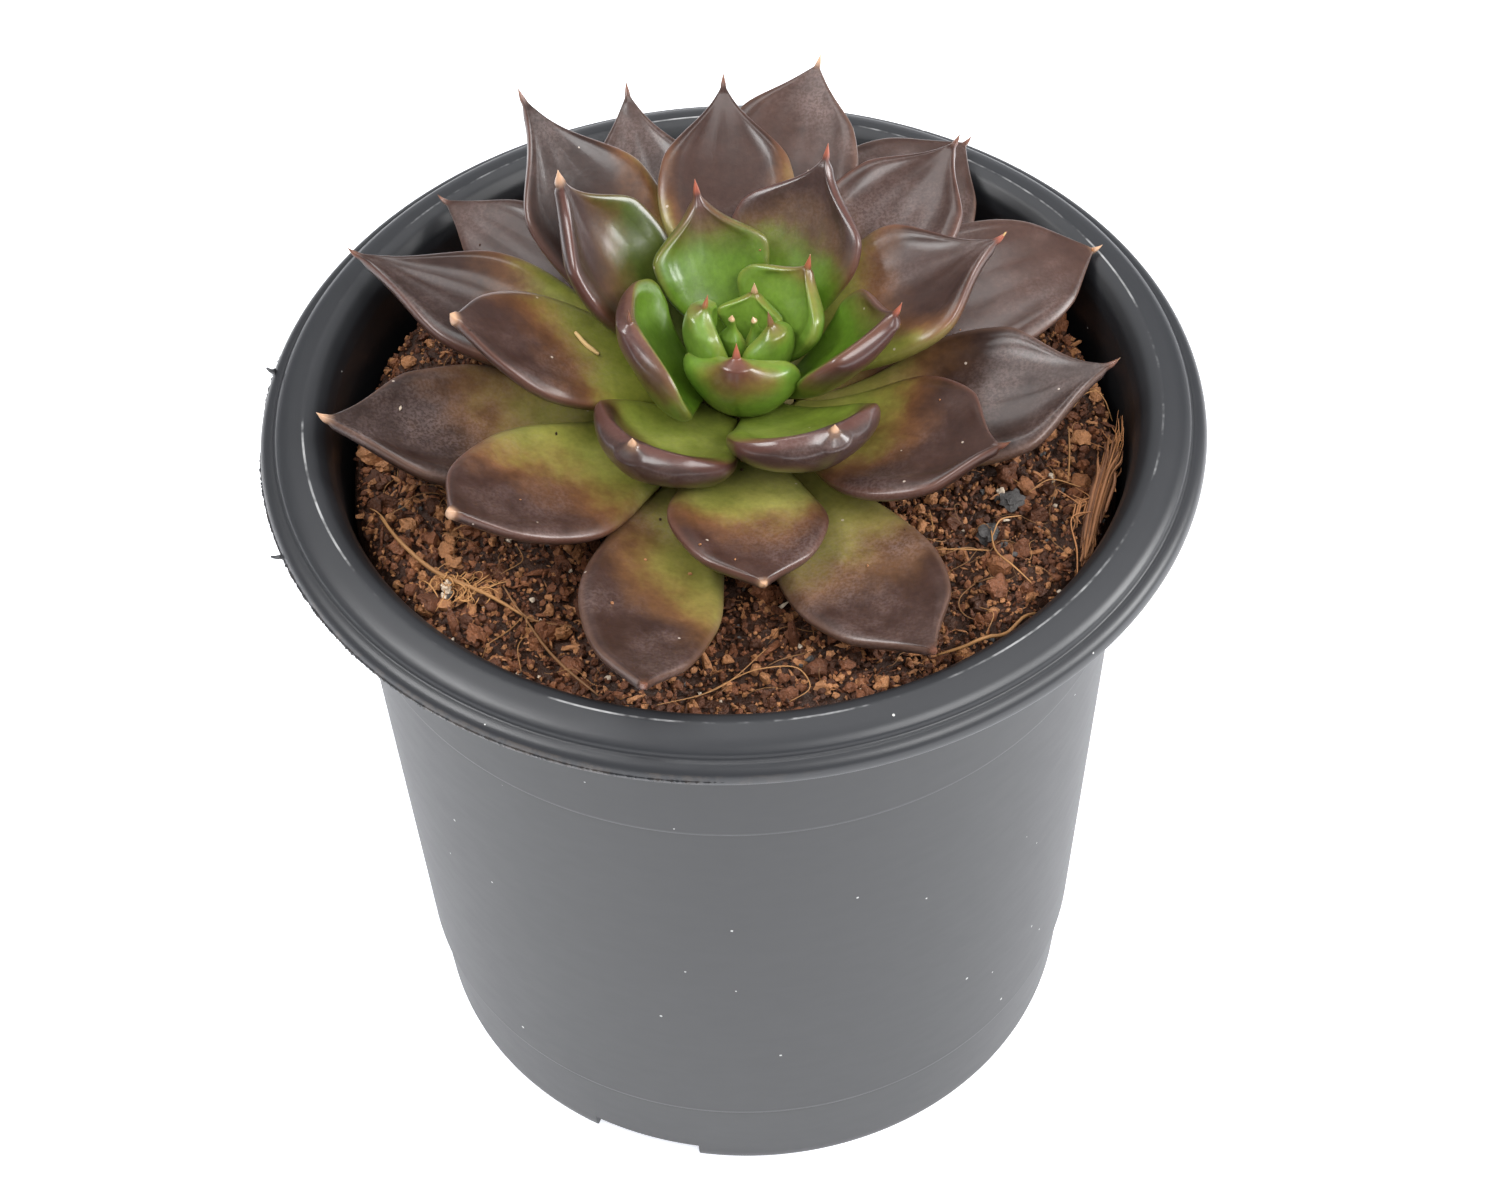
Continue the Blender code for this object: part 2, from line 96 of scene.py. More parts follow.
class Graph:
    """Short ways to add nodes to one node tree."""

    def __init__(self, tree: bpy.types.NodeTree) -> None:
        """Holds the tree that the nodes go into."""
        self.tree = tree

    def node(self, kind: str, inputs: dict[Any, Any] | None = None, **settings: Any) -> bpy.types.Node:
        """Adds a node.

        Args:
            kind: the node's type name without "ShaderNode".
            inputs: socket name or index to a value or to an output socket.
            settings: the node's own properties.

        Returns:
            The new node.
        """
        made = self.tree.nodes.new("ShaderNode" + kind)
        for name, value in settings.items():
            setattr(made, name, value)
        self.feed(made, inputs or {})
        return made

    def feed(self, node: bpy.types.Node, inputs: dict[Any, Any]) -> None:
        """Links or sets some of a node's inputs.

        Args:
            node: the node.
            inputs: socket name or index to an output socket, a number, a vector or a linear colour.
        """
        for name, value in inputs.items():
            socket = node.inputs[name]
            if isinstance(value, bpy.types.NodeSocket):
                self.tree.links.new(value, socket)
            elif socket.type == "RGBA":
                socket.default_value = (*value, 1.0)
            else:
                socket.default_value = value

    def math(self, operation: str, a: Any, b: Any = 0.0, c: Any = 0.0) -> Socket:
        """One Math node's result."""
        return self.node("Math", {0: a, 1: b, 2: c}, operation=operation).outputs[0]

    def times(self, a: Any, b: Any) -> Socket:
        """The product of a and b."""
        return self.math("MULTIPLY", a, b)

    def plus(self, a: Any, b: Any) -> Socket:
        """The sum of a and b."""
        return self.math("ADD", a, b)

    def minus(self, a: Any, b: Any) -> Socket:
        """The difference a less b."""
        return self.math("SUBTRACT", a, b)

    def times_plus(self, a: Any, b: Any, c: Any) -> Socket:
        """The product of a and b, plus c."""
        return self.math("MULTIPLY_ADD", a, b, c)

    def step(self, value: Any, low: Any, high: Any, bottom: Any = 0.0, top: Any = 1.0) -> Socket:
        """Smooth step of value between low and high, from bottom to top."""
        inputs = {"Value": value, "From Min": low, "From Max": high, "To Min": bottom, "To Max": top}
        return self.node("MapRange", inputs, interpolation_type="SMOOTHSTEP").outputs[0]

    def mix(self, share: Any, a: Any, b: Any) -> Socket:
        """Colour a mixed towards colour b."""
        return self.node("Mix", {0: share, 6: a, 7: b}, data_type="RGBA", clamp_factor=True).outputs[2]

    def shaded(self, colour: Any, gain: Any) -> Socket:
        """The colour with each of its parts times one gain."""
        grey = self.node("CombineXYZ", {0: gain, 1: gain, 2: gain}).outputs[0]
        return self.node("VectorMath", {0: colour, 1: grey}, operation="MULTIPLY").outputs[0]

    def noise(self, place: Any, scale: Any, detail: float = 2.0, rough: float = 0.5) -> Socket:
        """Noise from 0 to 1 at that place."""
        inputs = {"Vector": place, "Scale": scale, "Detail": detail, "Roughness": rough}
        return self.node("TexNoise", inputs).outputs[0]

    def place(self) -> Socket:
        """The point's place on the object, in metres."""
        return self.node("TexCoord").outputs["Object"]

    def value(self, name: str) -> Socket:
        """A number kept on the mesh's points."""
        return self.node("Attribute", attribute_name=name).outputs["Fac"]

    def bump(self, height: Any, strength: float, distance: float) -> Socket:
        """A normal that follows the height, which stands for distance metres at most."""
        return self.node("Bump", {"Strength": strength, "Distance": distance, "Height": height}).outputs[0]

    def group(self, name: str, build: Build, inputs: dict[str, Any]) -> bpy.types.Node:
        """Adds a shared group's node.

        Args:
            name: the group's name.
            build: fills the group's tree the first time.
            inputs: the group's inputs.

        Returns:
            The node.
        """
        made = self.node("Group", node_tree=Groups.get(name, build))
        self.feed(made, inputs)
        return made


class Groups:
    """Shader node groups that several materials share, each built once."""

    made: dict[str, bpy.types.NodeTree] = {}

    @classmethod
    def get(cls, name: str, build: Build) -> bpy.types.NodeTree:
        """The group of that name, built the first time it is asked for.

        Args:
            name: the group's name.
            build: fills its tree.

        Returns:
            The group's tree.
        """
        if name not in cls.made:
            tree = bpy.data.node_groups.new(name, "ShaderNodeTree")
            build(tree)
            cls.made[name] = tree
        return cls.made[name]

    @staticmethod
    def sockets(
        tree: bpy.types.NodeTree, inputs: dict[str, Any], outputs: dict[str, str]
    ) -> tuple[Any, bpy.types.Node]:
        """Makes a group's sockets.

        Args:
            tree: the group.
            inputs: name to default value, a number or a linear colour.
            outputs: name to kind, Float or Color.

        Returns:
            The group's input values and its output node.
        """
        for name, default in inputs.items():
            kind = "Color" if isinstance(default, tuple) else "Float"
            made = tree.interface.new_socket(name, in_out="INPUT", socket_type="NodeSocket" + kind)
            made.default_value = (*default, 1.0) if kind == "Color" else default
        for name, kind in outputs.items():
            tree.interface.new_socket(name, in_out="OUTPUT", socket_type="NodeSocket" + kind)
        return tree.nodes.new("NodeGroupInput").outputs, tree.nodes.new("NodeGroupOutput")


def build_dust(tree: bpy.types.NodeTree) -> None:
    """Group: sparse specks of pale grit, as a mask.

    Args:
        tree: the group's tree. Amount is the share of cells with a speck, and Size its share of a cell.
    """
    asked, end = Groups.sockets(tree, {"Scale": 500.0, "Amount": 0.1, "Size": 0.2}, {"Mask": "Float"})
    graph = Graph(tree)
    cells = graph.node("TexVoronoi", {"Vector": graph.place(), "Scale": asked["Scale"]})
    chance = graph.node("SeparateColor", {0: cells.outputs["Color"]}).outputs[0]
    chosen = graph.math("LESS_THAN", chance, asked["Amount"])
    least_share = 0.6
    size = graph.times(asked["Size"], graph.plus(chance, least_share))
    near = graph.math("LESS_THAN", cells.outputs["Distance"], size)
    graph.feed(end, {"Mask": graph.times(chosen, near)})


def build_mottle(tree: bpy.types.NodeTree) -> None:
    """Group: a colour made a little lighter and darker in soft patches of two sizes.

    Args:
        tree: the group's tree. Scale is that of the broad patches, and Strength how far the colour swings.
    """
    inputs = {"Color": (0.5, 0.5, 0.5), "Scale": 200.0, "Strength": 0.2}
    asked, end = Groups.sockets(tree, inputs, {"Color": "Color", "Height": "Float"})
    graph = Graph(tree)
    place = graph.place()
    broad_share, fine_share, finer, swing_gain = 0.6, 0.4, 5.3, 4.0
    broad = graph.noise(place, asked["Scale"], 3.0)
    fine = graph.noise(place, graph.times(asked["Scale"], finer), 2.0, 0.6)
    both = graph.plus(graph.times(broad, broad_share), graph.times(fine, fine_share))
    swing = graph.times(graph.minus(both, 0.5), asked["Strength"])
    colour = graph.shaded(asked["Color"], graph.times_plus(swing, swing_gain, 1.0))
    graph.feed(end, {"Color": colour, "Height": fine})


@dataclass(frozen=True)
class SkinPattern:
    """Patterns that every leaf's skin shares. Scales are a metre, and the rest are shares."""

    warp_scale: float = 120.0
    warp: float = 0.42
    warm_band: float = 0.55
    fresh_scale: float = 95.0
    fresh_gain: Colour = (1.22, 1.12, 1.35)
    streaks: float = 9.0
    streak_scale: float = 2.2
    streak: float = 0.14
    mottle_scale: float = 300.0
    mottle: float = 0.34
    bloom_scale: float = 75.0
    bloom_colour: Colour = srgb(152, 132, 128)
    grain_scale: float = 3000.0
    grain_least: float = 0.25
    grain_most: float = 1.3
    dust_scale: float = 640.0
    dust_amount: float = 0.05
    dust_size: float = 0.16
    dust: float = 0.55
    dust_colour: Colour = srgb(205, 190, 175)
    wax_rough: float = 0.29
    bloom_rough: float = 0.5
    rough_scale: float = 420.0
    rough: float = 0.12
    lump_scale: float = 330.0
    pore_scale: float = 2200.0
    pores: float = 0.22

    def build(self, tree: bpy.types.NodeTree) -> None:
        """Group: a leaf's colour from green at the base to plum at the end, with margin, tip and bloom.

        Args:
            tree: the group's tree. Its inputs are those of LeafPaint and LeafSkin.
        """
        colours = {
            "Green": (0.15, 0.15, 0.04), "Warm": (0.15, 0.08, 0.04), "Plum": (0.1, 0.06, 0.05),
            "Margin": (0.2, 0.1, 0.1), "Tip": (0.4, 0.2, 0.1),
        }
        numbers = {
            "Reach": 0.4, "Under Reach": 0.5, "Blend": 0.16, "Pull": 0.25, "Lean": 0.0,
            "Rim": 0.4, "Bloom": 0.3, "Dry": 0.5,
        }
        outputs = {"Color": "Color", "Roughness": "Float", "Height": "Float"}
        asked, end = Groups.sockets(tree, {**colours, **numbers}, outputs)
        graph = Graph(tree)
        place = graph.place()
        along, across, face = graph.value("along"), graph.value("across"), graph.value("face")
        side = graph.math("ABSOLUTE", across)
        colour = self.tiers(graph, asked, place, along, across, face)
        edge = graph.times(graph.step(side, 0.90, 1.0), asked["Rim"])
        edge = graph.times(edge, graph.step(along, 0.25, 0.6))
        colour = graph.mix(edge, colour, asked["Margin"])
        patches = graph.step(graph.noise(place, self.bloom_scale, 5.0, 0.65), 0.42, 0.72)
        grain = graph.noise(place, self.grain_scale, 3.0, 0.6)
        grain = graph.step(grain, 0.38, 0.62, self.grain_least, self.grain_most)
        bloom = graph.times(graph.times(patches, grain), asked["Bloom"])
        colour = graph.mix(bloom, colour, self.bloom_colour)
        colour = graph.mix(graph.times(graph.step(along, 0.975, 1.03), asked["Dry"]), colour, asked["Tip"])
        sizes = {"Scale": self.dust_scale, "Amount": self.dust_amount, "Size": self.dust_size}
        dust = graph.group("dust", build_dust, sizes).outputs[0]
        colour = graph.mix(graph.times(dust, self.dust), colour, self.dust_colour)
        rough = graph.times_plus(bloom, self.bloom_rough, self.wax_rough)
        rough = graph.times_plus(graph.noise(place, self.rough_scale, 3.0), self.rough, rough)
        lumps = graph.noise(place, self.lump_scale, 3.0)
        height = graph.times_plus(graph.noise(place, self.pore_scale, 2.0), self.pores, lumps)
        graph.feed(end, {"Color": colour, "Roughness": rough, "Height": height})

    def tiers(
        self, graph: Graph, asked: Any, place: Socket, along: Socket, across: Socket, face: Socket
    ) -> Socket:
        """The colour that runs along the leaf, before its margin and bloom.

        Args:
            graph: the group's graph.
            asked: the group's input values.
            place: the point's place.
            along: the point's share of the leaf's length.
            across: its place across the blade, from -1 to 1.
            face: 1 above to -1 below.

        Returns:
            Green, warm and plum in turn, mottled and faintly streaked.
        """
        side = graph.math("ABSOLUTE", across)
        warp = graph.minus(graph.noise(place, self.warp_scale, 5.0, 0.62), 0.5)
        upper = graph.step(face, -0.15, 0.15)
        reach = graph.node("Mix", {0: upper, 2: asked["Under Reach"], 3: asked["Reach"]}).outputs[0]
        depth = graph.times_plus(graph.times(side, side), asked["Pull"], graph.minus(along, reach))
        depth = graph.times_plus(across, asked["Lean"], depth)
        depth = graph.times_plus(warp, self.warp, depth)
        shift, before = graph.times(asked["Blend"], self.warm_band), graph.times(asked["Blend"], -1.0)
        early = graph.step(graph.plus(depth, shift), before, asked["Blend"])
        late = graph.step(graph.minus(depth, shift), before, asked["Blend"])
        lighter = graph.node("VectorMath", {0: asked["Green"], 1: self.fresh_gain}, operation="MULTIPLY")
        fresh = graph.step(graph.noise(place, self.fresh_scale, 5.0, 0.6), 0.38, 0.62)
        fresh = graph.mix(fresh, asked["Green"], lighter.outputs[0])
        colour = graph.mix(late, graph.mix(early, fresh, asked["Warm"]), asked["Plum"])
        inputs = {"Color": colour, "Scale": self.mottle_scale, "Strength": self.mottle}
        colour = graph.group("mottle", build_mottle, inputs).outputs[0]
        lines = graph.node("CombineXYZ", {0: graph.times(across, self.streaks), 1: along, 2: face}).outputs[0]
        streak = graph.minus(graph.noise(lines, self.streak_scale, 3.0, 0.6), 0.5)
        return graph.shaded(colour, graph.times_plus(streak, self.streak, 1.0))


def new_material(name: str) -> tuple[bpy.types.Material, Graph, bpy.types.Node]:
    """A material with its Principled shader.

    Args:
        name: the material's name.

    Returns:
        The material, its graph, and its shader node.
    """
    material = bpy.data.materials.new(name)
    material.use_nodes = True
    return material, Graph(material.node_tree), material.node_tree.nodes["Principled BSDF"]


class Tier(Enum):
    """Where a leaf grows, which sets its colours and its wax."""

    OUTER = "outer"
    MIDDLE = "middle"
    UPPER = "upper"
    INNER = "inner"
    HEART = "heart"


class Tip(Enum):
    """How a leaf's point looks."""

    DULL = "dull"
    RED = "red"
    DRY = "dry"


@dataclass(frozen=True)
class LeafPaint:
    """Where one leaf's colours lie.

    The reaches are shares of its length that stay green, on its upper and its under face. Pull turns its
    margins plum earlier, lean turns the side at the higher azimuth plum earlier, and tint scales the plum.
    """

    reach: float = 0.45
    under_reach: float = 0.5
    pull: float = 0.1
    lean: float = 0.0
    tint: float = 1.0
    tip: Tip = Tip.DULL
    green: Colour | None = None


@dataclass(frozen=True)
class LeafSkin:
    """Waxy leaf skin in one tier's colours, which are linear."""

    green: Colour
    warm: Colour
    plum: Colour
    margin: Colour
    bloom: float
    blend: float = 0.13
    rim: float = 0.45
    coat: float = 0.28
    coat_rough: float = 0.18
    ior: float = 1.45
    bump: float = 0.16
    bump_high: float = 0.4 * MM
    glow: float = 0.08
    glow_deep: float = 1.5 * MM

    def material(self, name: str, paint: LeafPaint) -> bpy.types.Material:
        """One leaf's material.

        Args:
            name: the material's name.
            paint: where the leaf's colours lie.

        Returns:
            The material.
        """
        material, graph, shader = new_material(name)
        tip, dry = TIP_LOOKS[paint.tip]
        plum = tuple(c * paint.tint for c in self.plum)
        skin = graph.group("leaf_skin", SkinPattern().build, {
            "Green": paint.green or self.green, "Warm": self.warm, "Plum": plum, "Margin": self.margin,
            "Tip": tip, "Reach": paint.reach, "Under Reach": paint.under_reach, "Blend": self.blend,
            "Pull": paint.pull, "Lean": paint.lean, "Rim": self.rim, "Bloom": self.bloom, "Dry": dry,
        }).outputs
        graph.feed(shader, {
            "Base Color": skin["Color"],
            "Roughness": skin["Roughness"],
            "Normal": graph.bump(skin["Height"], self.bump, self.bump_high),
            "IOR": self.ior,
            "Coat Weight": self.coat,
            "Coat Roughness": self.coat_rough,
            "Subsurface Weight": self.glow,
            "Subsurface Radius": (1.0, 0.8, 0.3),
            "Subsurface Scale": self.glow_deep,
        })
        return material


TIP_LOOKS = {
    Tip.DULL: (srgb(134, 88, 70), 0.6),
    Tip.RED: (srgb(176, 96, 74), 0.8),
    Tip.DRY: (srgb(196, 156, 126), 0.95),
}

# Each tier's green, warm, plum and margin colours.
SKINS = {
    Tier.OUTER: LeafSkin(
        srgb(126, 123, 58), srgb(104, 72, 44), srgb(57, 39, 33), srgb(108, 80, 66), bloom=0.22
    ),
    Tier.MIDDLE: LeafSkin(
        srgb(126, 129, 56), srgb(106, 70, 42), srgb(56, 37, 31), srgb(108, 72, 60), bloom=0.15
    ),
    Tier.UPPER: LeafSkin(
        srgb(68, 90, 22), srgb(86, 60, 34), srgb(58, 39, 34), srgb(108, 64, 54),
        bloom=0.12, rim=0.35, coat=0.6,
    ),
    Tier.INNER: LeafSkin(
        srgb(74, 104, 24), srgb(88, 74, 36), srgb(72, 46, 41), srgb(120, 78, 54),
        bloom=0.06, rim=0.3, coat=0.6,
    ),
    Tier.HEART: LeafSkin(
        srgb(90, 120, 38), srgb(110, 96, 44), srgb(92, 56, 44), srgb(128, 116, 54),
        bloom=0.05, rim=0.3, coat=0.5,
    ),
}


@dataclass(frozen=True)
class LeafForm:
    """One leaf's shape. Angles are in degrees and lengths in millimetres, as in the part's source."""

    name: str
    azimuth: float
    seat: float
    length: float
    width: float
    rise: float
    tip_rise: float
    cup: float
    sway: float = 0.0
    roll: float = 0.0
    thick: float = 3.3
    bend: float = 1.3
    base: float = 0.27
    widest: float = 0.64
    seat_radius: float = 0.0
    point: float = 1.2
    ogee: float = 0.3
    ogee_from: float = 0.8
    thinning: float = 0.62
    blunt: float = 0.3


LEAVES = (
    LeafForm(
        "outer_leaf_1", 189, 86.0, 40.5, 19.0, 0, 32, 24, sway=3, roll=-4, blunt=0.4, ogee=0.45,
        ogee_from=0.75,
    ),
    LeafForm(
        "outer_leaf_2", 243, 85.4, 45.5, 15.5, 3, 30, 7, sway=32, roll=-14, point=0.6, blunt=0.4, ogee=0.25,
        ogee_from=0.85,
    ),
    LeafForm(
        "outer_leaf_3", 292, 85.8, 39.0, 17.0, 1, 21, 9, sway=3, roll=5, point=0.7, blunt=0.4, ogee=0.35,
    ),
    LeafForm(
        "outer_leaf_4", -14, 87.3, 34.0, 18.0, 6, 23, 19, sway=19, roll=13, base=0.24, ogee=0.6,
        ogee_from=0.7,
    ),
    LeafForm("outer_leaf_5", 27, 86.4, 38.0, 18.5, 16, -6, 6, sway=-3, roll=14, ogee=0.15, ogee_from=0.85),
    LeafForm("outer_leaf_6", 62, 84.8, 40.0, 21.0, 16, 1, 4, sway=-17, roll=12, ogee=0.2, ogee_from=0.85),
    LeafForm("outer_leaf_7", 83, 87.0, 38.0, 18.0, 22, 21, 20, sway=-15, roll=4, ogee=0.35),
    LeafForm("outer_leaf_8", 114, 84.6, 40.5, 19.0, 6, 29, 7, sway=-19, roll=-12, ogee=0.55, ogee_from=0.7),
    LeafForm("outer_leaf_9", 136, 86.4, 39.0, 13.0, 12, 2, 4, sway=4, roll=-16),
    LeafForm(
        "middle_leaf_1", 213, 87.9, 36.5, 17.5, 5, 37, 6, sway=19, roll=-10, point=0.8, blunt=0.6, ogee=0.15,
        ogee_from=0.85,
    ),
    LeafForm(
        "middle_leaf_2", 266, 87.5, 26.0, 17.5, 12, 12, 7, sway=14, roll=-7, point=0.6, blunt=0.45, ogee=0.2,
        ogee_from=0.85,
    ),
    LeafForm("middle_leaf_3", 319, 89.1, 27.0, 19.0, 11, 25, 17, sway=18, roll=5, ogee=0.5),
    LeafForm("middle_leaf_4", 46, 88.7, 32.5, 16.5, 24, 15, 24, sway=5, roll=8, ogee=0.5, ogee_from=0.75),
    LeafForm("middle_leaf_5", 95, 90.3, 32.0, 16.0, 31, 17, 15, sway=-7, roll=3, ogee=0.6, ogee_from=0.68),
    LeafForm("middle_leaf_6", 130, 89.1, 36.0, 17.5, 22, 43, 10, sway=-1, roll=3, ogee=0.65, ogee_from=0.65),
    LeafForm("middle_leaf_7", 163, 87.8, 40.0, 15.5, 15, 9, 23, sway=-10, roll=-2, ogee=0.6, ogee_from=0.65),
    LeafForm("middle_leaf_8", 17, 90.3, 26.5, 18.0, 30, 20, 24, sway=2, roll=3, ogee=0.65, ogee_from=0.65),
    LeafForm(
        "middle_leaf_9", 178, 89.5, 29.0, 16.5, 23, 40, 4, sway=17, roll=-2, point=0.7, blunt=0.75, ogee=0.1,
        ogee_from=0.85,
    ),
    LeafForm(
        "upper_leaf_1", 146, 90.6, 26.46, 16.5, 28, 74, 38, sway=6, roll=2, thick=2.7, base=0.2, blunt=0.5,
        ogee=0.6, ogee_from=0.7, thinning=0.5,
    ),
    LeafForm(
        "upper_leaf_2", 62, 91.5, 22.0, 17.0, 38, 62, 27, sway=-6, roll=-3, thick=2.7, ogee=0.7,
        ogee_from=0.65, thinning=0.5,
    ),
    LeafForm(
        "upper_leaf_3", 289, 90.6, 20.5, 18.5, 22, 71, 29, 16, -8, thick=3.6, point=0.6, blunt=0.4, bend=2.6,
        widest=0.7, ogee_from=0.85, thinning=0.2,
    ),
    LeafForm(
        "upper_leaf_4", 234, 89.9, 19.5, 18.5, 14, 77, 35, 5, -4, thick=3.6, point=0.6, blunt=0.4, bend=2.6,
        widest=0.7, ogee_from=0.85, thinning=0.2,
    ),
    LeafForm(
        "inner_leaf_1", 110, 92.5, 17.0, 14.0, 47, 63, 38, sway=-4, roll=-6, thick=2.7, ogee=0.75,
        ogee_from=0.62, thinning=0.45,
    ),
    LeafForm(
        "inner_leaf_2", 337, 91.4, 18.0, 15.5, 41, 56, 45, sway=17, roll=-7, thick=2.7, base=0.24, ogee=0.6,
        ogee_from=0.7, thinning=0.35,
    ),
    LeafForm(
        "inner_leaf_3", 194, 91.6, 15.5, 20.0, 36, 84, 30, sway=21, roll=-17, thick=2.7, base=0.22,
        ogee_from=0.85, thinning=0.25,
    ),
)

HEART_LEAVES = (
    LeafForm(
        "front", 262, 91.0, 12.2, 15.0, 40, 100, 56, roll=-9, sway=6, thick=3.2, base=0.2, seat_radius=2.6,
        widest=0.78, ogee=0.55, ogee_from=0.78, thinning=0.3,
    ),
    LeafForm(
        "back_right", 32, 93.1, 11.5, 14.0, 56, 66, 42, roll=5, thick=2.6, base=0.4, seat_radius=2.4,
        ogee=0.6, ogee_from=0.7,
    ),
    LeafForm(
        "back_left", 208, 93.4, 10.6, 8.4, 70, 100, 46, sway=-34, thick=3.2, base=0.55, seat_radius=3.0,
        ogee=0.5, thinning=0.3,
    ),
    LeafForm(
        "right", 312, 92.8, 9.4, 7.2, 66, 98, 50, sway=12, thick=2.8, base=0.5, seat_radius=2.3, ogee=0.5,
        ogee_from=0.72, thinning=0.3,
    ),
    LeafForm(
        "back", 70, 95.2, 5.8, 7.8, 60, 78, 40, thick=1.8, base=0.5, seat_radius=1.4, point=0.9, ogee=0.65,
        ogee_from=0.62, thinning=0.4,
    ),
    LeafForm(
        "bud_left", 222, 94.6, 6.4, 3.4, 86, 88, 40, thick=2.0, base=0.75, widest=0.4, seat_radius=1.2,
        point=0.4, ogee=0.85, ogee_from=0.35, thinning=0.5,
    ),
    LeafForm(
        "bud_right", 330, 94.6, 5.6, 3.0, 84, 92, 40, thick=1.8, base=0.75, widest=0.4, seat_radius=0.9,
        point=0.4, ogee=0.85, ogee_from=0.35, thinning=0.5,
    ),
)

PAINTS = {
    "outer_leaf_1": LeafPaint(0.57, 0.5, pull=0.0, tint=0.6, tip=Tip.DRY),
    "outer_leaf_2": LeafPaint(0.52, 0.6, pull=0.0, lean=-0.16),
    "outer_leaf_3": LeafPaint(0.56, 0.5, pull=0.05, tint=1.05),
    "outer_leaf_4": LeafPaint(0.36, 0.5, pull=-0.1, tint=0.72),
    "outer_leaf_5": LeafPaint(0.25, 0.3, tint=1.35, tip=Tip.DRY),
    "outer_leaf_6": LeafPaint(0.3, 0.3),
    "outer_leaf_7": LeafPaint(0.28, 0.3, tint=1.25, tip=Tip.DRY),
    "outer_leaf_8": LeafPaint(0.3, 0.3, tint=1.1),
    "outer_leaf_9": LeafPaint(0.34, 0.3, tint=1.25),
    "middle_leaf_1": LeafPaint(0.53, 0.5, pull=-0.06, lean=0.08, tip=Tip.DRY),
    "middle_leaf_2": LeafPaint(0.68, 0.6, pull=0.18, tint=1.2, tip=Tip.DRY, green=srgb(128, 129, 60)),
    "middle_leaf_3": LeafPaint(0.52, 0.5, pull=0.12, lean=-0.04),
    "middle_leaf_4": LeafPaint(0.36, 0.4, pull=-0.1),
    "middle_leaf_5": LeafPaint(0.3, 0.4, pull=-0.35),
    "middle_leaf_6": LeafPaint(0.36, 0.4, pull=-0.1, lean=0.2, tint=0.62),
    "middle_leaf_7": LeafPaint(0.5, 0.45, pull=-0.05, lean=0.12, tint=0.72),
    "middle_leaf_8": LeafPaint(0.42, 0.5, pull=-0.22, tip=Tip.RED),
    "middle_leaf_9": LeafPaint(
        0.56, 0.45, pull=-0.05, lean=0.08, tint=0.95, tip=Tip.DRY, green=srgb(116, 122, 46)
    ),
    "upper_leaf_1": LeafPaint(0.58, 0.5, pull=-0.1, lean=0.26, tip=Tip.DRY, green=srgb(62, 74, 24)),
    "upper_leaf_2": LeafPaint(0.62, 0.6, pull=0.16, tip=Tip.RED, green=srgb(78, 110, 26)),
    "upper_leaf_3": LeafPaint(0.84, 0.42, pull=0.1, tip=Tip.DRY, green=srgb(104, 120, 42)),
    "upper_leaf_4": LeafPaint(0.78, 0.36, pull=0.1, tip=Tip.DRY, green=srgb(108, 118, 44)),
    "inner_leaf_1": LeafPaint(0.74, 0.8, pull=-0.05, tip=Tip.RED),
    "inner_leaf_2": LeafPaint(0.82, 0.55, pull=0.12, tip=Tip.RED),
    "inner_leaf_3": LeafPaint(0.95, 0.72, pull=0.0),
    "front": LeafPaint(1.0, 0.74, pull=-0.36, tip=Tip.RED),
    "back_right": LeafPaint(0.95, 0.9, pull=0.0, tip=Tip.RED),
    "back_left": LeafPaint(1.0, 0.92, pull=-0.2, tip=Tip.RED),
    "right": LeafPaint(1.0, 0.97, pull=-0.1),
    "back": LeafPaint(1.05, 1.05, tip=Tip.DRY),
    "bud_left": LeafPaint(1.2, 1.2, tip=Tip.DRY),
    "bud_right": LeafPaint(1.2, 1.2, tip=Tip.DRY),
}


def mesh_from_arrays(
    name: str, points: np.ndarray, faces: Sequence[Sequence[int]], values: dict[str, np.ndarray] | None = None
) -> bpy.types.Mesh:
    """A smooth-shaded mesh.

    Args:
        name: the mesh's name.
        points: its vertices, in metres.
        faces: vertex indices of each face.
        values: numbers to keep on the points, by name.

    Returns:
        The mesh.
    """
    mesh = bpy.data.meshes.new(name)
    mesh.from_pydata(np.asarray(points).tolist(), [], [list(map(int, face)) for face in faces])
    for key, numbers in (values or {}).items():
        layer = mesh.attributes.new(key, "FLOAT", "POINT")
        layer.data.foreach_set("value", np.asarray(numbers, np.float32))
    mesh.shade_smooth()
    return mesh


def joined_mesh(name: str, shapes: Sequence[tuple[np.ndarray, Any, float]]) -> bpy.types.Mesh:
    """One mesh of many shapes.

    Args:
        name: the mesh's name.
        shapes: each shape's points, its faces, all with as many corners, and its tone.

    Returns:
        The mesh, with the tones kept on its points.
    """
    faces, first = [], 0
    for points, own, _ in shapes:
        faces += (np.asarray(own) + first).tolist()
        first += len(points)
    tones = np.concatenate([np.full(len(points), tone) for points, _, tone in shapes])
    return mesh_from_arrays(name, np.concatenate([shape[0] for shape in shapes]), faces, {"tone": tones})


def mesh_from_bmesh(name: str, bm: bmesh.types.BMesh) -> bpy.types.Mesh:
    """Makes a mesh from a bmesh.

    Args:
        name: the mesh's name.
        bm: the bmesh, which is freed.

    Returns:
        The mesh.
    """
    mesh = bpy.data.meshes.new(name)
    bm.to_mesh(mesh)
    bm.free()
    return mesh


def linked(name: str, data: Any) -> bpy.types.Object:
    """Puts a new object into the scene.

    Args:
        name: the object's name.
        data: its mesh, light or camera.

    Returns:
        The object.
    """
    made = bpy.data.objects.new(name, data)
    bpy.context.scene.collection.objects.link(made)
    return made


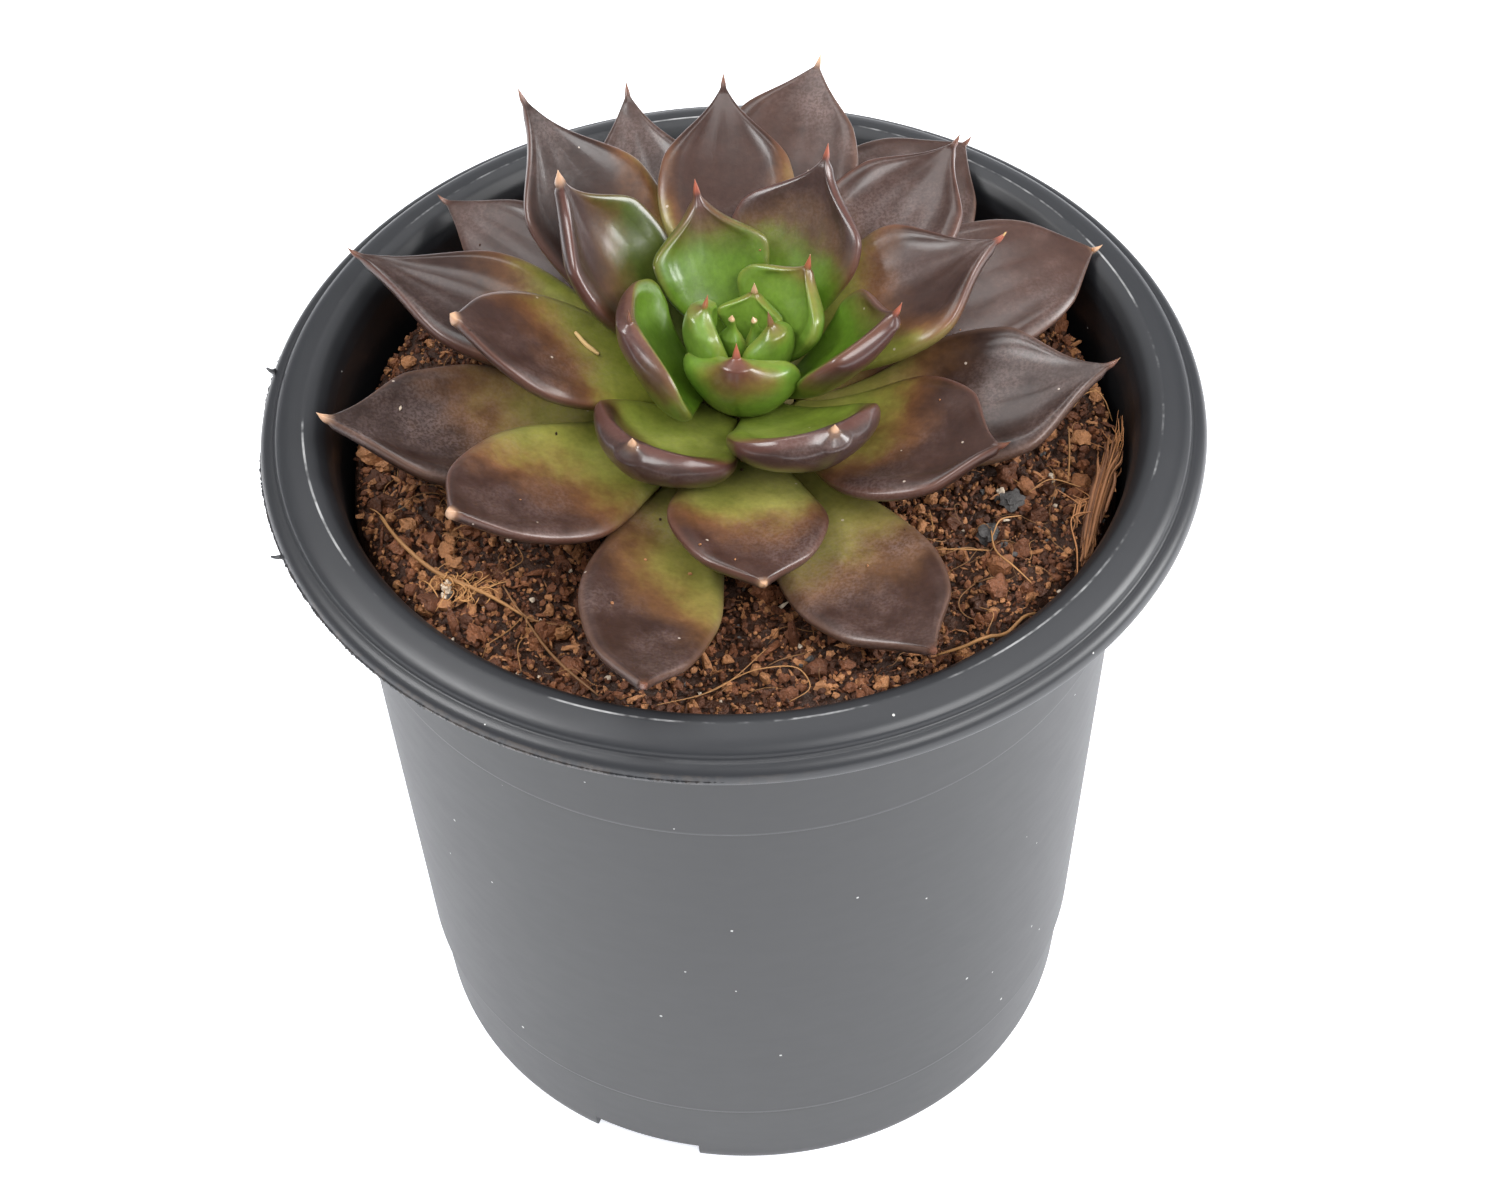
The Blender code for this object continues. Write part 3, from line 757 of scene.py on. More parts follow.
def add_piece(
    name: str, mesh: bpy.types.Mesh, material: bpy.types.Material, nodes: Sequence[str] = ()
) -> bpy.types.Object:
    """Adds a piece that rides on the plant's one body.

    Args:
        name: the piece's name.
        mesh: its mesh.
        material: its finish.
        nodes: the solids that it stands for.

    Returns:
        The piece.
    """
    piece = linked(name, mesh)
    mesh.materials.append(material)
    if nodes:
        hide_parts(*nodes)
    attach(piece, "root")
    LOG.info("%s: %d faces", name, len(mesh.polygons))
    return piece


def ring_faces(rings: int, around: int, capped: bool = False) -> list[tuple[int, ...]]:
    """Quads between rings of points that close on themselves.

    Args:
        rings: how many rings follow each other.
        around: points in each.
        capped: whether the first and last rings are closed with faces of their own.

    Returns:
        The faces, as vertex indices.
    """
    faces = []
    for i in range(rings - 1):
        for j in range(around):
            a, b = i * around + j, i * around + (j + 1) % around
            faces.append((a, b, b + around, a + around))
    if capped:
        faces.append(tuple(range(around))[::-1])
        faces.append(tuple((rings - 1) * around + j for j in range(around)))
    return faces


def polar(radius: Any, turn: np.ndarray, z: Any) -> np.ndarray:
    """Points at those distances from the pot's axis, turns in radians and heights."""
    x, y = radius * np.cos(turn), radius * np.sin(turn)
    return np.stack([x, y, np.broadcast_to(z, x.shape)], 1)


def bell(value: np.ndarray, middle: float, wide: float) -> np.ndarray:
    """A soft hump of height 1 round the middle."""
    return np.exp(-(((value - middle) / wide) ** 2))


@dataclass(frozen=True)
class Ridge:
    """A soft ridge, or a hollow, that runs along a leaf: its height in millimetres and where it lies."""

    high: float
    middle: float
    wide: float
    grows: tuple[float, float]
    fades: tuple[float, float]
    faded: float = 1.0

    def relief(self, s: np.ndarray, size: np.ndarray) -> np.ndarray:
        """How far it stands proud at a share s of the length and a place across, counted from the midrib."""
        grown = ramp(s, *self.grows) * (1 - self.faded * ramp(s, *self.fades))
        return self.high * bell(size, self.middle, self.wide) * grown


BEAD = Ridge(0.30, 0.82, 0.13, (0.2, 0.5), (0.72, 0.93), 0.85)
HOLLOW = Ridge(-0.15, 0.45, 0.26, (0.2, 0.5), (0.72, 0.93), 0.85)
GROOVE = Ridge(-0.20, 0.0, 0.055, (0.45, 0.7), (0.76, 0.92))
KEEL = Ridge(-0.30, 0.0, 0.25, (0.45, 0.75), (0.8, 0.95))


@dataclass
class Plant:
    """The rosette: where its axis stands, how its seats climb and how finely its leaves are made."""

    axis_x: float = 1.5 * MM
    axis_y: float = 1.0 * MM
    seat_r: float = 5.8 * MM
    seat_least_r: float = 2.6 * MM
    seat_turn_z: float = 88.0 * MM
    seat_fall: float = 0.43
    seat_clear: float = 0.7 * MM
    heart_foot_z: float = 90.5 * MM
    heart_top_z: float = 97.0 * MM
    stations: int = 66
    station_power: float = 1.35
    across: int = 25
    mucro_rings: int = 7
    mucro_lift: float = 0.35
    mucro_power: float = 1.3
    mucro_least: float = 0.04
    roll_in: float = 0.4
    uneven: float = 0.012
    swell_end: float = 0.45
    thin_from: float = 0.55
    thin_over: float = 0.45
    most_thick: float = 2.1
    midrib_steps: int = 160
    ogee_end: float = 0.97
    upper_share: float = 0.28
    usual_thick: float = 3.3
    usual_wide: float = 14.0
    lumps: int = 6
    lump_high: float = 0.03
    leaf_seed: int = 100
    heart_seed: int = 200
    core_around: int = 48
    made: list[bpy.types.Object] = field(default_factory=list)

    def seat_radius(self, z: float) -> float:
        """Distance from the axis to the base of a leaf that is seated at z."""
        return min(max(self.seat_r - (z - self.seat_turn_z) * self.seat_fall, self.seat_least_r), self.seat_r)

    def directions(self, leaf: LeafForm, s: np.ndarray) -> tuple[np.ndarray, np.ndarray, np.ndarray]:
        """Unit vectors of the leaf.

        Args:
            leaf: the leaf's form.
            s: shares of its length.

        Returns:
            Arrays of the vectors along the midrib, across the blade and out of its upper face.
        """
        rise = np.radians(leaf.rise + (leaf.tip_rise - leaf.rise) * s**leaf.bend)
        turn = np.radians(leaf.azimuth + leaf.sway * s)
        roll = (np.radians(leaf.roll) * np.minimum(1.0, s / self.roll_in))[:, None]
        along = np.stack([np.cos(rise) * np.cos(turn), np.cos(rise) * np.sin(turn), np.sin(rise)], 1)
        level = np.stack([-np.sin(turn), np.cos(turn), np.zeros_like(turn)], 1)
        out = np.cross(along, level)
        return along, level * np.cos(roll) + out * np.sin(roll), out * np.cos(roll) - level * np.sin(roll)

    def midrib(self, leaf: LeafForm) -> np.ndarray:
        """The leaf's midrib.

        Args:
            leaf: the leaf's form.

        Returns:
            Its points, at even shares of its length.
        """
        fine = np.linspace(0.0, 1.0, self.midrib_steps + 1)
        steps = self.directions(leaf, (fine[1:] + fine[:-1]) / 2)[0] * (leaf.length * MM / self.midrib_steps)
        turn = math.radians(leaf.azimuth)
        reach = leaf.seat_radius * MM or self.seat_radius(leaf.seat * MM)
        start = (self.axis_x + reach * math.cos(turn), self.axis_y + reach * math.sin(turn), leaf.seat * MM)
        return np.vstack([[start], np.array(start) + np.cumsum(steps, 0)])

    def places_round(self) -> np.ndarray:
        """Places across the blade: from 1 to -1 over its upper face, then back under it."""
        spread = np.cos(np.linspace(0.0, math.pi, self.across))
        return np.concatenate([spread, spread[-2:0:-1]])

    def blade(self, leaf: LeafForm, seed: int) -> bpy.types.Mesh:
        """Fine closed mesh of one leaf.

        Args:
            leaf: the leaf's form.
            seed: start of its own small unevenness.

        Returns:
            Its mesh, with along, across and face kept on its points.
        """
        rng = np.random.default_rng(seed)
        path = self.midrib(leaf)
        s = 1 - (1 - np.linspace(0.0, 1.0, self.stations)) ** self.station_power
        centre = np.stack([np.interp(s, np.linspace(0.0, 1.0, len(path)), path[:, k]) for k in range(3)], 1)
        half = self.half_width(leaf, s, rng)
        points, face = self.sections(leaf, s, centre, half, rng)
        q = np.linspace(0.0, 1.0, self.mucro_rings + 1)[1:]
        long = leaf.point * MM
        ahead = self.directions(leaf, s)[0][-1]
        lift = np.array([0, 0, self.mucro_lift * long])
        beak = path[-1] + ahead * (long * q)[:, None] + lift * (q**2)[:, None]
        shrink = np.maximum(1 - q**self.mucro_power, self.mucro_least)[:, None, None]
        last = points[-1] - centre[-1]
        points = np.concatenate([points, beak[:, None, :] + last[None] * shrink])
        total, count = points.shape[:2]
        values = {
            "along": np.repeat(np.concatenate([s, 1 + q * 0.05]), count),
            "across": np.tile(self.places_round(), total),
            "face": np.tile(face, total),
        }
        return mesh_from_arrays(leaf.name, points.reshape(-1, 3), ring_faces(total, count, True), values)

    def half_width(self, leaf: LeafForm, s: np.ndarray, rng: np.random.Generator) -> np.ndarray:
        """Half the blade's width, with an ogee point and a slightly uneven margin.

        Args:
            leaf: the leaf's form.
            s: shares of its length.
            rng: source of the unevenness.

        Returns:
            The half widths, in metres.
        """
        grow = np.sin(math.pi / 2 * np.minimum(1.0, s / leaf.widest)) ** 1.5
        plain = 0.5 * leaf.width * MM * (leaf.base + (1 - leaf.base) * grow) * (1 - s**6)
        ogee = 1 - leaf.ogee * ramp(s, leaf.ogee_from, self.ogee_end)
        uneven = 1 + self.uneven * np.sin(s * rng.uniform(14, 20) + rng.uniform(0, 6)) * ramp(s, 0.1, 0.3)
        mucro_r = leaf.blunt * MM
        return ((plain * ogee * uneven) ** 3 + mucro_r**3) ** (1 / 3)

    def thickness(self, leaf: LeafForm, s: np.ndarray) -> np.ndarray:
        """Blade's thickness along its midrib.

        Args:
            leaf: the leaf's form.
            s: shares of its length.

        Returns:
            The thicknesses, in metres.
        """
        swell = 0.5 + 0.5 * np.sin(math.pi / 2 * np.minimum(1.0, s / self.swell_end))
        thin = 1 - leaf.thinning * np.maximum(0.0, (s - self.thin_from) / self.thin_over) ** 1.6
        return leaf.thick * MM * swell * thin

    def sections(
        self, leaf: LeafForm, s: np.ndarray, centre: np.ndarray, half: np.ndarray, rng: np.random.Generator
    ) -> tuple[np.ndarray, np.ndarray]:
        """Rings of points round the blade.

        Args:
            leaf: the leaf's form.
            s: shares of its length, one a ring.
            centre: the midrib's points.
            half: half widths.
            rng: source of the unevenness.

        Returns:
            The points as (ring, place, xyz), and each place's face from 1 above to -1 below.
        """
        across, out = self.directions(leaf, s)[1:]
        thick = np.minimum(self.thickness(leaf, s), self.most_thick * half)
        u = self.places_round()
        upper = np.arange(len(u)) < self.across
        size, side = np.abs(u)[None], np.sign(u)[None]
        steepest = (math.radians(leaf.cup) * (0.45 + 0.55 * np.minimum(1.0, s / 0.5)))[:, None]
        slope = steepest * size
        x = np.sin(slope) / steepest * half[:, None] * side
        z = (1 - np.cos(slope)) / steepest * half[:, None]
        bulge = np.sqrt(np.maximum(0.0, 1 - size**3))
        offset = np.where(upper, self.upper_share, self.upper_share - 1)[None] * thick[:, None] * bulge
        offset = offset + self.relief(leaf, s[:, None], u[None], upper[None], rng) * MM
        rest = centre[:, None] + across[:, None] * x[..., None] + out[:, None] * z[..., None]
        normal = out[:, None] * np.cos(slope)[..., None] - across[:, None] * (np.sin(slope) * side)[..., None]
        return rest + normal * offset[..., None], np.where(upper, 1.0, -1.0) * bulge[0]

    def relief(
        self, leaf: LeafForm, s: np.ndarray, u: np.ndarray, upper: np.ndarray, rng: np.random.Generator
    ) -> np.ndarray:
        """How far the skin stands proud: a margin bead, a hollow, a groove, a keel and soft lumps.

        Args:
            leaf: the leaf's form.
            s: shares of its length, down the array.
            u: places across the blade, along the array.
            upper: which of them are on the upper face.
            rng: source of the lumps.

        Returns:
            The heights, in millimetres.
        """
        size, side = leaf.thick / self.usual_thick * min(1.0, leaf.width / self.usual_wide), np.abs(u)
        lumps = np.zeros(np.broadcast(s, u).shape)
        for _ in range(self.lumps):
            rate_s, rate_u = rng.uniform(5, 16), rng.uniform(-5, 5)
            lumps = lumps + self.lump_high * np.sin(rate_s * s + rate_u * u + rng.uniform(0, 6.3))
        lumps = lumps * ramp(s, 0.0, 0.2) * (1 - ramp(s, 0.68, 0.9))
        above = BEAD.relief(s, side) + HOLLOW.relief(s, side) + GROOVE.relief(s, side)
        return size * (np.where(upper, above, KEEL.relief(s, side)) + lumps)

    def build(self) -> None:
        """Makes the leaves and the heart."""
        for index, leaf in enumerate(LEAVES):
            tier = Tier(leaf.name.split("_")[0])
            skin = SKINS[tier].material(f"{leaf.name}_skin", PAINTS[leaf.name])
            mesh = self.blade(leaf, self.leaf_seed + index)
            self.made.append(add_piece(f"{leaf.name}_fine", mesh, skin, [leaf.name]))
        for index, leaf in enumerate(HEART_LEAVES):
            skin = SKINS[Tier.HEART].material(f"heart_{leaf.name}_skin", PAINTS[leaf.name])
            mesh = self.blade(leaf, self.heart_seed + index)
            self.made.append(add_piece(f"heart_{leaf.name}", mesh, skin, ["heart"]))
        self.made.append(self.core())

    def core(self) -> bpy.types.Object:
        """Makes the short core that the heart's leaves grow from.

        Returns:
            The piece.
        """
        foot, top, least = self.heart_foot_z, self.heart_top_z, 0.02 * MM
        waist = foot + 2.6 * MM
        profile = [
            (least, foot),
            (self.seat_radius(foot) - self.seat_clear, foot),
            (self.seat_radius(waist) - self.seat_clear, waist),
            (1.3 * MM, top - 1.2 * MM),
            (least, top - 0.6 * MM),
        ]
        turn = np.linspace(0, 2 * math.pi, self.core_around, endpoint=False)
        points = np.concatenate([polar(r, turn, z) for r, z in profile])
        points += np.array([self.axis_x, self.axis_y, 0.0])
        zeros = np.zeros(len(points))
        values = {"along": zeros, "across": zeros, "face": zeros - 1}
        mesh = mesh_from_arrays("heart_core", points, ring_faces(len(profile), len(turn), True), values)
        skin = SKINS[Tier.HEART].material("heart_core_skin", LeafPaint(1.2, 1.2))
        return add_piece("heart_core", mesh, skin, ["heart"])


def filleted(points: Line, radius: float, steps: int) -> Line:
    """Rounds off the corners of a line.

    Args:
        points: the line's points.
        radius: how far from a corner its rounding starts, at most.
        steps: parts of each rounding.

    Returns:
        The rounded line's points.
    """
    made = [points[0]]
    for before, at, after in zip(points, points[1:], points[2:]):
        a, b, c = np.array(before), np.array(at), np.array(after)
        back, ahead = np.linalg.norm(a - b), np.linalg.norm(c - b)
        reach = min(radius, 0.45 * back, 0.45 * ahead)
        start, end = b + (a - b) / back * reach, b + (c - b) / ahead * reach
        for k in range(steps + 1):
            t = k / steps
            made.append(tuple((1 - t) ** 2 * start + 2 * t * (1 - t) * b + t * t * end))
    made.append(points[-1])
    return made


@dataclass(frozen=True)
class PotPlastic:
    """Dark moulded plastic, with a pale broken line painted along the crease that is partly wear and partly a
    painted highlight, fine scuffs, dust and dried dirt.
    """

    name: str = "pot_plastic_worn"
    colour: Colour = srgb(20, 21, 24)
    rim_colour: Colour = srgb(40, 41, 44)
    # Pale grey of the crease line: partly wear, partly a painted highlight.
    worn: Colour = srgb(196, 196, 196)
    dirt: Colour = srgb(74, 66, 60)
    dust: Colour = srgb(215, 215, 212)
    rim_z: tuple[float, float] = (84.5 * MM, 86.5 * MM)
    rim_r: tuple[float, float] = (43.5 * MM, 45.8 * MM)
    band_r: tuple[float, float] = (47.0 * MM, 48.2 * MM)
    band_rough: float = 0.07
    rough: tuple[float, float] = (0.44, 0.47)
    worn_and_highlight_share: float = 0.6
    dirt_share: float = 0.5
    dust_share: float = 0.7
    scuff_scale: float = 260.0
    crease_wide: float = 0.16 * MM
    under_lip_z: float = 87.4 * MM
    under_lip_r: float = 49.2 * MM
    ior: float = 1.56

    def material(self) -> bpy.types.Material:
        """Makes the pot's material.

        Returns:
            The material.
        """
        material, graph, shader = new_material(self.name)
        place = graph.place()
        axes = graph.node("SeparateXYZ", {0: place}).outputs
        radius = graph.math("SQRT", graph.plus(graph.times(axes[0], axes[0]), graph.times(axes[1], axes[1])))
        rim = graph.times(graph.step(axes[2], *self.rim_z), graph.step(radius, *self.rim_r))
        inputs = {"Color": graph.mix(rim, self.colour, self.rim_colour), "Scale": 60.0, "Strength": 0.05}
        colour = graph.group("mottle", build_mottle, inputs).outputs[0]
        # Painted highlight and wear: a pale broken line along the crease's sharp edge.
        worn = graph.times(self.crease_wear_and_highlight_mask(graph, place, axes, radius), self.worn_and_highlight_share)
        colour = graph.mix(worn, colour, self.worn)
        dirt = graph.times(self.dirt_mask(graph, place, axes, radius), self.dirt_share)
        colour = graph.mix(dirt, colour, self.dirt)
        dust = graph.group("dust", build_dust, {"Scale": 230.0, "Amount": 0.8, "Size": 0.032}).outputs[0]
        scuffs = graph.node("Mapping", {"Vector": place, "Scale": (1.0, 1.0, 3.0)}).outputs[0]
        fine = graph.noise(scuffs, self.scuff_scale, 4.0, 0.6)
        polish = graph.step(radius, *self.band_r, self.band_rough, -self.band_rough)
        graph.feed(shader, {
            "Base Color": graph.mix(graph.times(dust, self.dust_share), colour, self.dust),
            "Roughness": graph.times_plus(rim, polish, graph.step(fine, 0.2, 0.8, *self.rough)),
            "Normal": graph.bump(fine, 0.004, 0.3 * MM),
            "IOR": self.ior,
        })
        return material

    def crease_wear_and_highlight_mask(self, graph: Graph, place: Socket, axes: Any, radius: Socket) -> Socket:
        """Where a pale line is painted along the rim's crease: partly wear, partly a painted highlight on its
        sharp edge.

        Args:
            graph: the material's graph.
            place: the point's place.
            axes: its x, y and z.
            radius: its distance from the pot's axis.

        Returns:
            The mask.
        """
        away = graph.math("ABSOLUTE", graph.minus(radius, CREASE_R))
        line = graph.step(away, self.crease_wide, self.crease_wide * 0.4)
        high = graph.math("GREATER_THAN", axes[2], CREASE_Z - 0.6 * MM)
        broken = graph.step(graph.noise(place, 70.0, 5.0, 0.75), 0.47, 0.66)
        return graph.times(graph.times(line, high), broken)

    def dirt_mask(self, graph: Graph, place: Socket, axes: Any, radius: Socket) -> Socket:
        """Where dried dirt clings under the lip at the front left.

        Args:
            graph: the material's graph.
            place: the point's place.
            axes: its x, y and z.
            radius: its distance from the pot's axis.

        Returns:
            The mask.
        """
        low = graph.math("LESS_THAN", axes[2], self.under_lip_z)
        lip = graph.times(low, graph.math("GREATER_THAN", radius, self.under_lip_r))
        left = graph.step(graph.plus(axes[0], graph.times(axes[1], 0.3)), 0.0, -30.0 * MM)
        spots = graph.step(graph.noise(place, 420.0, 5.0, 0.7), 0.48, 0.62)
        return graph.times(graph.times(lip, left), spots)


@dataclass
class GrowerPot:
    """The pot's sizes, in metres."""

    lip_r: float = 50.8 * MM
    lip_z: float = 86.6 * MM
    lip_thick: float = 1.2 * MM
    collar_r: float = 43.65 * MM
    collar_top_z: float = 86.0 * MM
    ledge_r: float = 42.6 * MM
    ledge_z: float = 67.8 * MM
    step_r: float = 39.0 * MM
    step_z: float = 11.3 * MM
    foot_r: float = 38.0 * MM
    foot_ring_r: float = 35.2 * MM
    floor_under_z: float = 2.6 * MM
    floor_top_z: float = 3.9 * MM
    wall: float = 1.2 * MM
    fillet: float = 0.35 * MM
    around: int = 288
    notch_azimuths: tuple[float, ...] = (-111.0, 9.0, 129.0)
    notch_wide: float = 13.0 * MM
    notch_high: float = 2.4 * MM
    notch_deep: float = 6.0 * MM
    drain_count: int = 5
    drain_r: float = 4.0 * MM
    drain_ring_r: float = 22.0 * MM
    drain_deep: float = 3.5 * MM
    drain_sides: int = 48
    sharp_angle: float = 40.0

    def inner_wall(self) -> Line:
        """Points up the inside of the wall.

        Returns:
            (radius, z) points.
        """
        return [
            (self.foot_r - self.wall + 0.3 * MM, 4.7 * MM),
            (self.step_r - self.wall, self.step_z),
            (self.ledge_r - self.wall - 0.1 * MM, self.ledge_z),
            (self.collar_r - self.wall + 0.1 * MM, 84.0 * MM),
        ]

    def outer_wall(self) -> Line:
        """Points down the outside of the wall, over the rounded edges of its two steps.

        Returns:
            (radius, z) points.
        """
        edge = ((0.01, 0.9), (0.0, 0.55), (-0.1, 0.22), (-0.27, 0.04), (-0.42, -0.05), (-0.44, -0.6))
        steps = ((self.ledge_r + 0.25 * MM, self.ledge_z), (self.step_r + 0.2 * MM, self.step_z))
        line = [(radius + dr * MM, z + dz * MM) for radius, z in steps for dr, dz in edge]
        return [(self.collar_r, self.collar_top_z)] + line + [(self.foot_r, 1.2 * MM)]

    def rim(self) -> Line:
        """Points over the rolled rim, from inside the collar round to under it.

        Returns:
            (radius, z) points.
        """
        crease, lip = (CREASE_R, CREASE_Z), (self.lip_r, self.lip_z)
        under, collar = (self.lip_r - self.lip_thick, self.lip_z), (self.collar_r, CREASE_Z)
        line = (
            (crease, -2.9, -2.7), (crease, -2.3, -1.4), (crease, -1.3, -0.4), (crease, 0.0, 0.0),
            (crease, 1.5, -0.45), (lip, -2.4, 2.55), (lip, -1.85, 2.1), (lip, -1.72, 1.65),
            (lip, -1.55, 1.48), (lip, -1.2, 1.5), (lip, -0.6, 1.25), (lip, -0.15, 0.75),
            (lip, 0.0, 0.1), (lip, -0.05, -0.4), (lip, -0.35, -0.6), (under, 0.0, -0.5),
            (under, -0.5, 0.6), (under, -1.6, 1.3), (crease, 0.4, -1.5), (crease, -1.3, -1.7),
            (collar, 0.1, -2.5),
        )
        return [(r + dr * MM, z + dz * MM) for (r, z), dr, dz in line]

    def profile(self) -> Line:
        """The whole pot's line, from the middle of its floor over the rim to under the floor.

        Returns:
            (radius, z) points.
        """
        floor = [(0.0, self.floor_top_z), (self.foot_r - self.wall - 0.5 * MM, self.floor_top_z)]
        foot = [
            (self.foot_r - 0.2 * MM, 0.4 * MM),
            (self.foot_r - 0.6 * MM, 0.0),
            (self.foot_ring_r, 0.0),
            (self.foot_ring_r - 0.4 * MM, self.floor_under_z),
            (0.0, self.floor_under_z),
        ]
        return filleted(floor + self.inner_wall() + self.rim() + self.outer_wall() + foot, self.fillet, 3)

    def build(self) -> None:
        """Makes the pot, with its notches and drain holes cut, and its flash."""
        bm = bmesh.new()
        verts = [bm.verts.new((r, 0.0, z)) for r, z in self.profile()]
        for a, b in zip(verts, verts[1:]):
            bm.edges.new((a, b))
        mesh = mesh_from_bmesh("grower_pot", bm)
        pot = add_piece("grower_pot", mesh, PotPlastic().material(), ["pot"])
        screw = pot.modifiers.new("Turn", "SCREW")
        screw.steps = self.around
        screw.render_steps = self.around
        screw.use_merge_vertices = True
        screw.merge_threshold = 0.01 * MM
        screw.use_smooth_shade = True
        cutters = [self.notch(math.radians(a)) for a in self.notch_azimuths]
        cutters += [self.drain(2 * math.pi * (k + 0.5) / self.drain_count) for k in range(self.drain_count)]
        for cutter in cutters:
            boolean = pot.modifiers.new("Cut", "BOOLEAN")
            boolean.operation = "DIFFERENCE"
            boolean.solver = "EXACT"
            boolean.object = cutter
        settle(pot)
        for cutter in cutters:
            bpy.data.objects.remove(cutter)
        pot.data.set_sharp_from_angle(angle=math.radians(self.sharp_angle))
        MouldingFlash().build(self)

    def notch(self, azimuth: float) -> bpy.types.Object:
        """Makes the block that cuts one water notch through the foot ring.

        Args:
            azimuth: where the notch is, in radians.

        Returns:
            The block.
        """
        bm = bmesh.new()
        bmesh.ops.create_cube(bm, size=1.0)
        bmesh.ops.scale(bm, vec=(self.notch_deep, self.notch_wide, 2 * self.notch_high), verts=bm.verts)
        middle = (self.foot_r + self.foot_ring_r) / 2
        place = Matrix.Translation((middle * math.cos(azimuth), middle * math.sin(azimuth), 0.0))
        return cutter_object(bm, place @ Matrix.Rotation(azimuth, 4, "Z"))

    def drain(self, azimuth: float) -> bpy.types.Object:
        """Makes the plug that cuts one drain hole.

        Args:
            azimuth: where the hole is, in radians.

        Returns:
            The plug.
        """
        bm = bmesh.new()
        sizes = {"radius1": self.drain_r, "radius2": self.drain_r, "depth": self.drain_deep}
        bmesh.ops.create_cone(bm, cap_ends=True, segments=self.drain_sides, **sizes)
        x, y = self.drain_ring_r * math.cos(azimuth), self.drain_ring_r * math.sin(azimuth)
        return cutter_object(bm, Matrix.Translation((x, y, (self.floor_top_z + self.floor_under_z) / 2)))


@dataclass
class MouldingFlash:
    """Ragged moulding flash under the lip at the left, and two torn bits of it that stick out."""

    first: float = 166.0
    last: float = 268.0
    step: float = 0.2
    seed: int = 21
    wave_rates: tuple[int, ...] = (37, 61, 97, 173)
    hang_least: float = 0.10
    hang_more: float = 0.26
    tuft: float = 0.25
    tuft_from: float = 0.97
    bits: tuple[tuple[float, float, float], ...] = ((170.5, 87.9, 0.42), (200.5, 86.3, 1.1))
    bit_points: int = 9
    bit_sides: int = 7

    def skirt(self, pot: GrowerPot) -> np.ndarray:
        """Points of the ragged skirt, four a section.

        Args:
            pot: the pot that it hangs from.

        Returns:
            The points.
        """
        rng = np.random.default_rng(self.seed)
        turn = np.radians(np.arange(self.first, self.last, self.step))
        rough = rng.random(len(turn))
        waves = np.abs(sum(np.sin(turn * rate + rng.uniform(0, 6)) for rate in self.wave_rates)) / 3
        hang = self.hang_least + self.hang_more * waves * (0.5 + 0.5 * rough)
        hang = (hang + self.tuft * (rough > self.tuft_from)) * MM
        box_r = (pot.lip_r - 0.25 * MM) / np.maximum(np.abs(np.cos(turn)), np.abs(np.sin(turn)))
        radius = np.minimum(pot.lip_r + (0.10 * rng.random(len(turn)) - 0.12) * MM, box_r)
        thick = (0.10 + 0.12 * rng.random(len(turn))) * MM
        top = np.full(len(turn), pot.lip_z + 0.1 * MM)
        corners = ((1, top), (1, top - hang), (-1, top - hang), (-1, top))
        return np.stack([polar(radius + side * thick, turn, z) for side, z in corners], 1).reshape(-1, 3)

    def bit(self, pot: GrowerPot, azimuth: float, z: float, out: float) -> tuple[np.ndarray, np.ndarray]:
        """One torn bit.

        Args:
            pot: the pot that it hangs from.
            azimuth: where it starts, in degrees.
            z: its height, in millimetres.
            out: how far it sticks out, in millimetres.

        Returns:
            Its points and triangles.
        """
        turn = math.radians(azimuth)
        ahead = np.array([math.cos(turn), math.sin(turn), 0.0])
        root = pot.lip_r - 0.5 * MM
        start = np.array([root * math.cos(turn), root * math.sin(turn), z * MM])
        bend = []
        for share in (0, 0.35, 0.7, 1.0):
            curl = np.array([0, 0, 0.9 * share**2 - 0.5 * share])
            bend.append(tuple(start + (ahead * share * out + curl) * MM + ahead * 0.5 * MM * share))
        radii = np.linspace(0.36, 0.12, self.bit_points) * MM
        return tube(smooth_path(bend, self.bit_points), radii, self.bit_sides)

    def build(self, pot: GrowerPot) -> None:
        """Makes the flash as one piece.

        Args:
            pot: the pot that it hangs from.
        """
        skirt = self.skirt(pot)
        shapes = [(skirt, ring_faces(len(skirt) // 4, 4, True), 0.0)]
        shapes += [(*self.bit(pot, *place), 0.0) for place in self.bits]
        mesh = joined_mesh("moulding_flash", shapes)
        mesh.shade_flat()
        finish = PotPlastic("pot_plastic_flash", colour=srgb(26, 26, 28)).material()
        add_piece("moulding_flash", mesh, finish)


def cutter_object(bm: bmesh.types.BMesh, place: Matrix) -> bpy.types.Object:
    """An object for a Boolean to take away.

    Args:
        bm: the bmesh that it is made from, which is freed.
        place: where it goes.

    Returns:
        The object.
    """
    cutter = linked("cutter", mesh_from_bmesh("cutter", bm))
    cutter.matrix_world = place
    return cutter


def settle(piece: bpy.types.Object) -> None:
    """Applies the piece's modifiers to its mesh.

    Args:
        piece: the piece, which keeps its place and loses its modifiers.
    """
    graph = bpy.context.evaluated_depsgraph_get()
    graph.update()
    shown = piece.evaluated_get(graph)
    mesh = bpy.data.meshes.new_from_object(shown, preserve_all_data_layers=True, depsgraph=graph)
    piece.modifiers.clear()
    piece.data = mesh


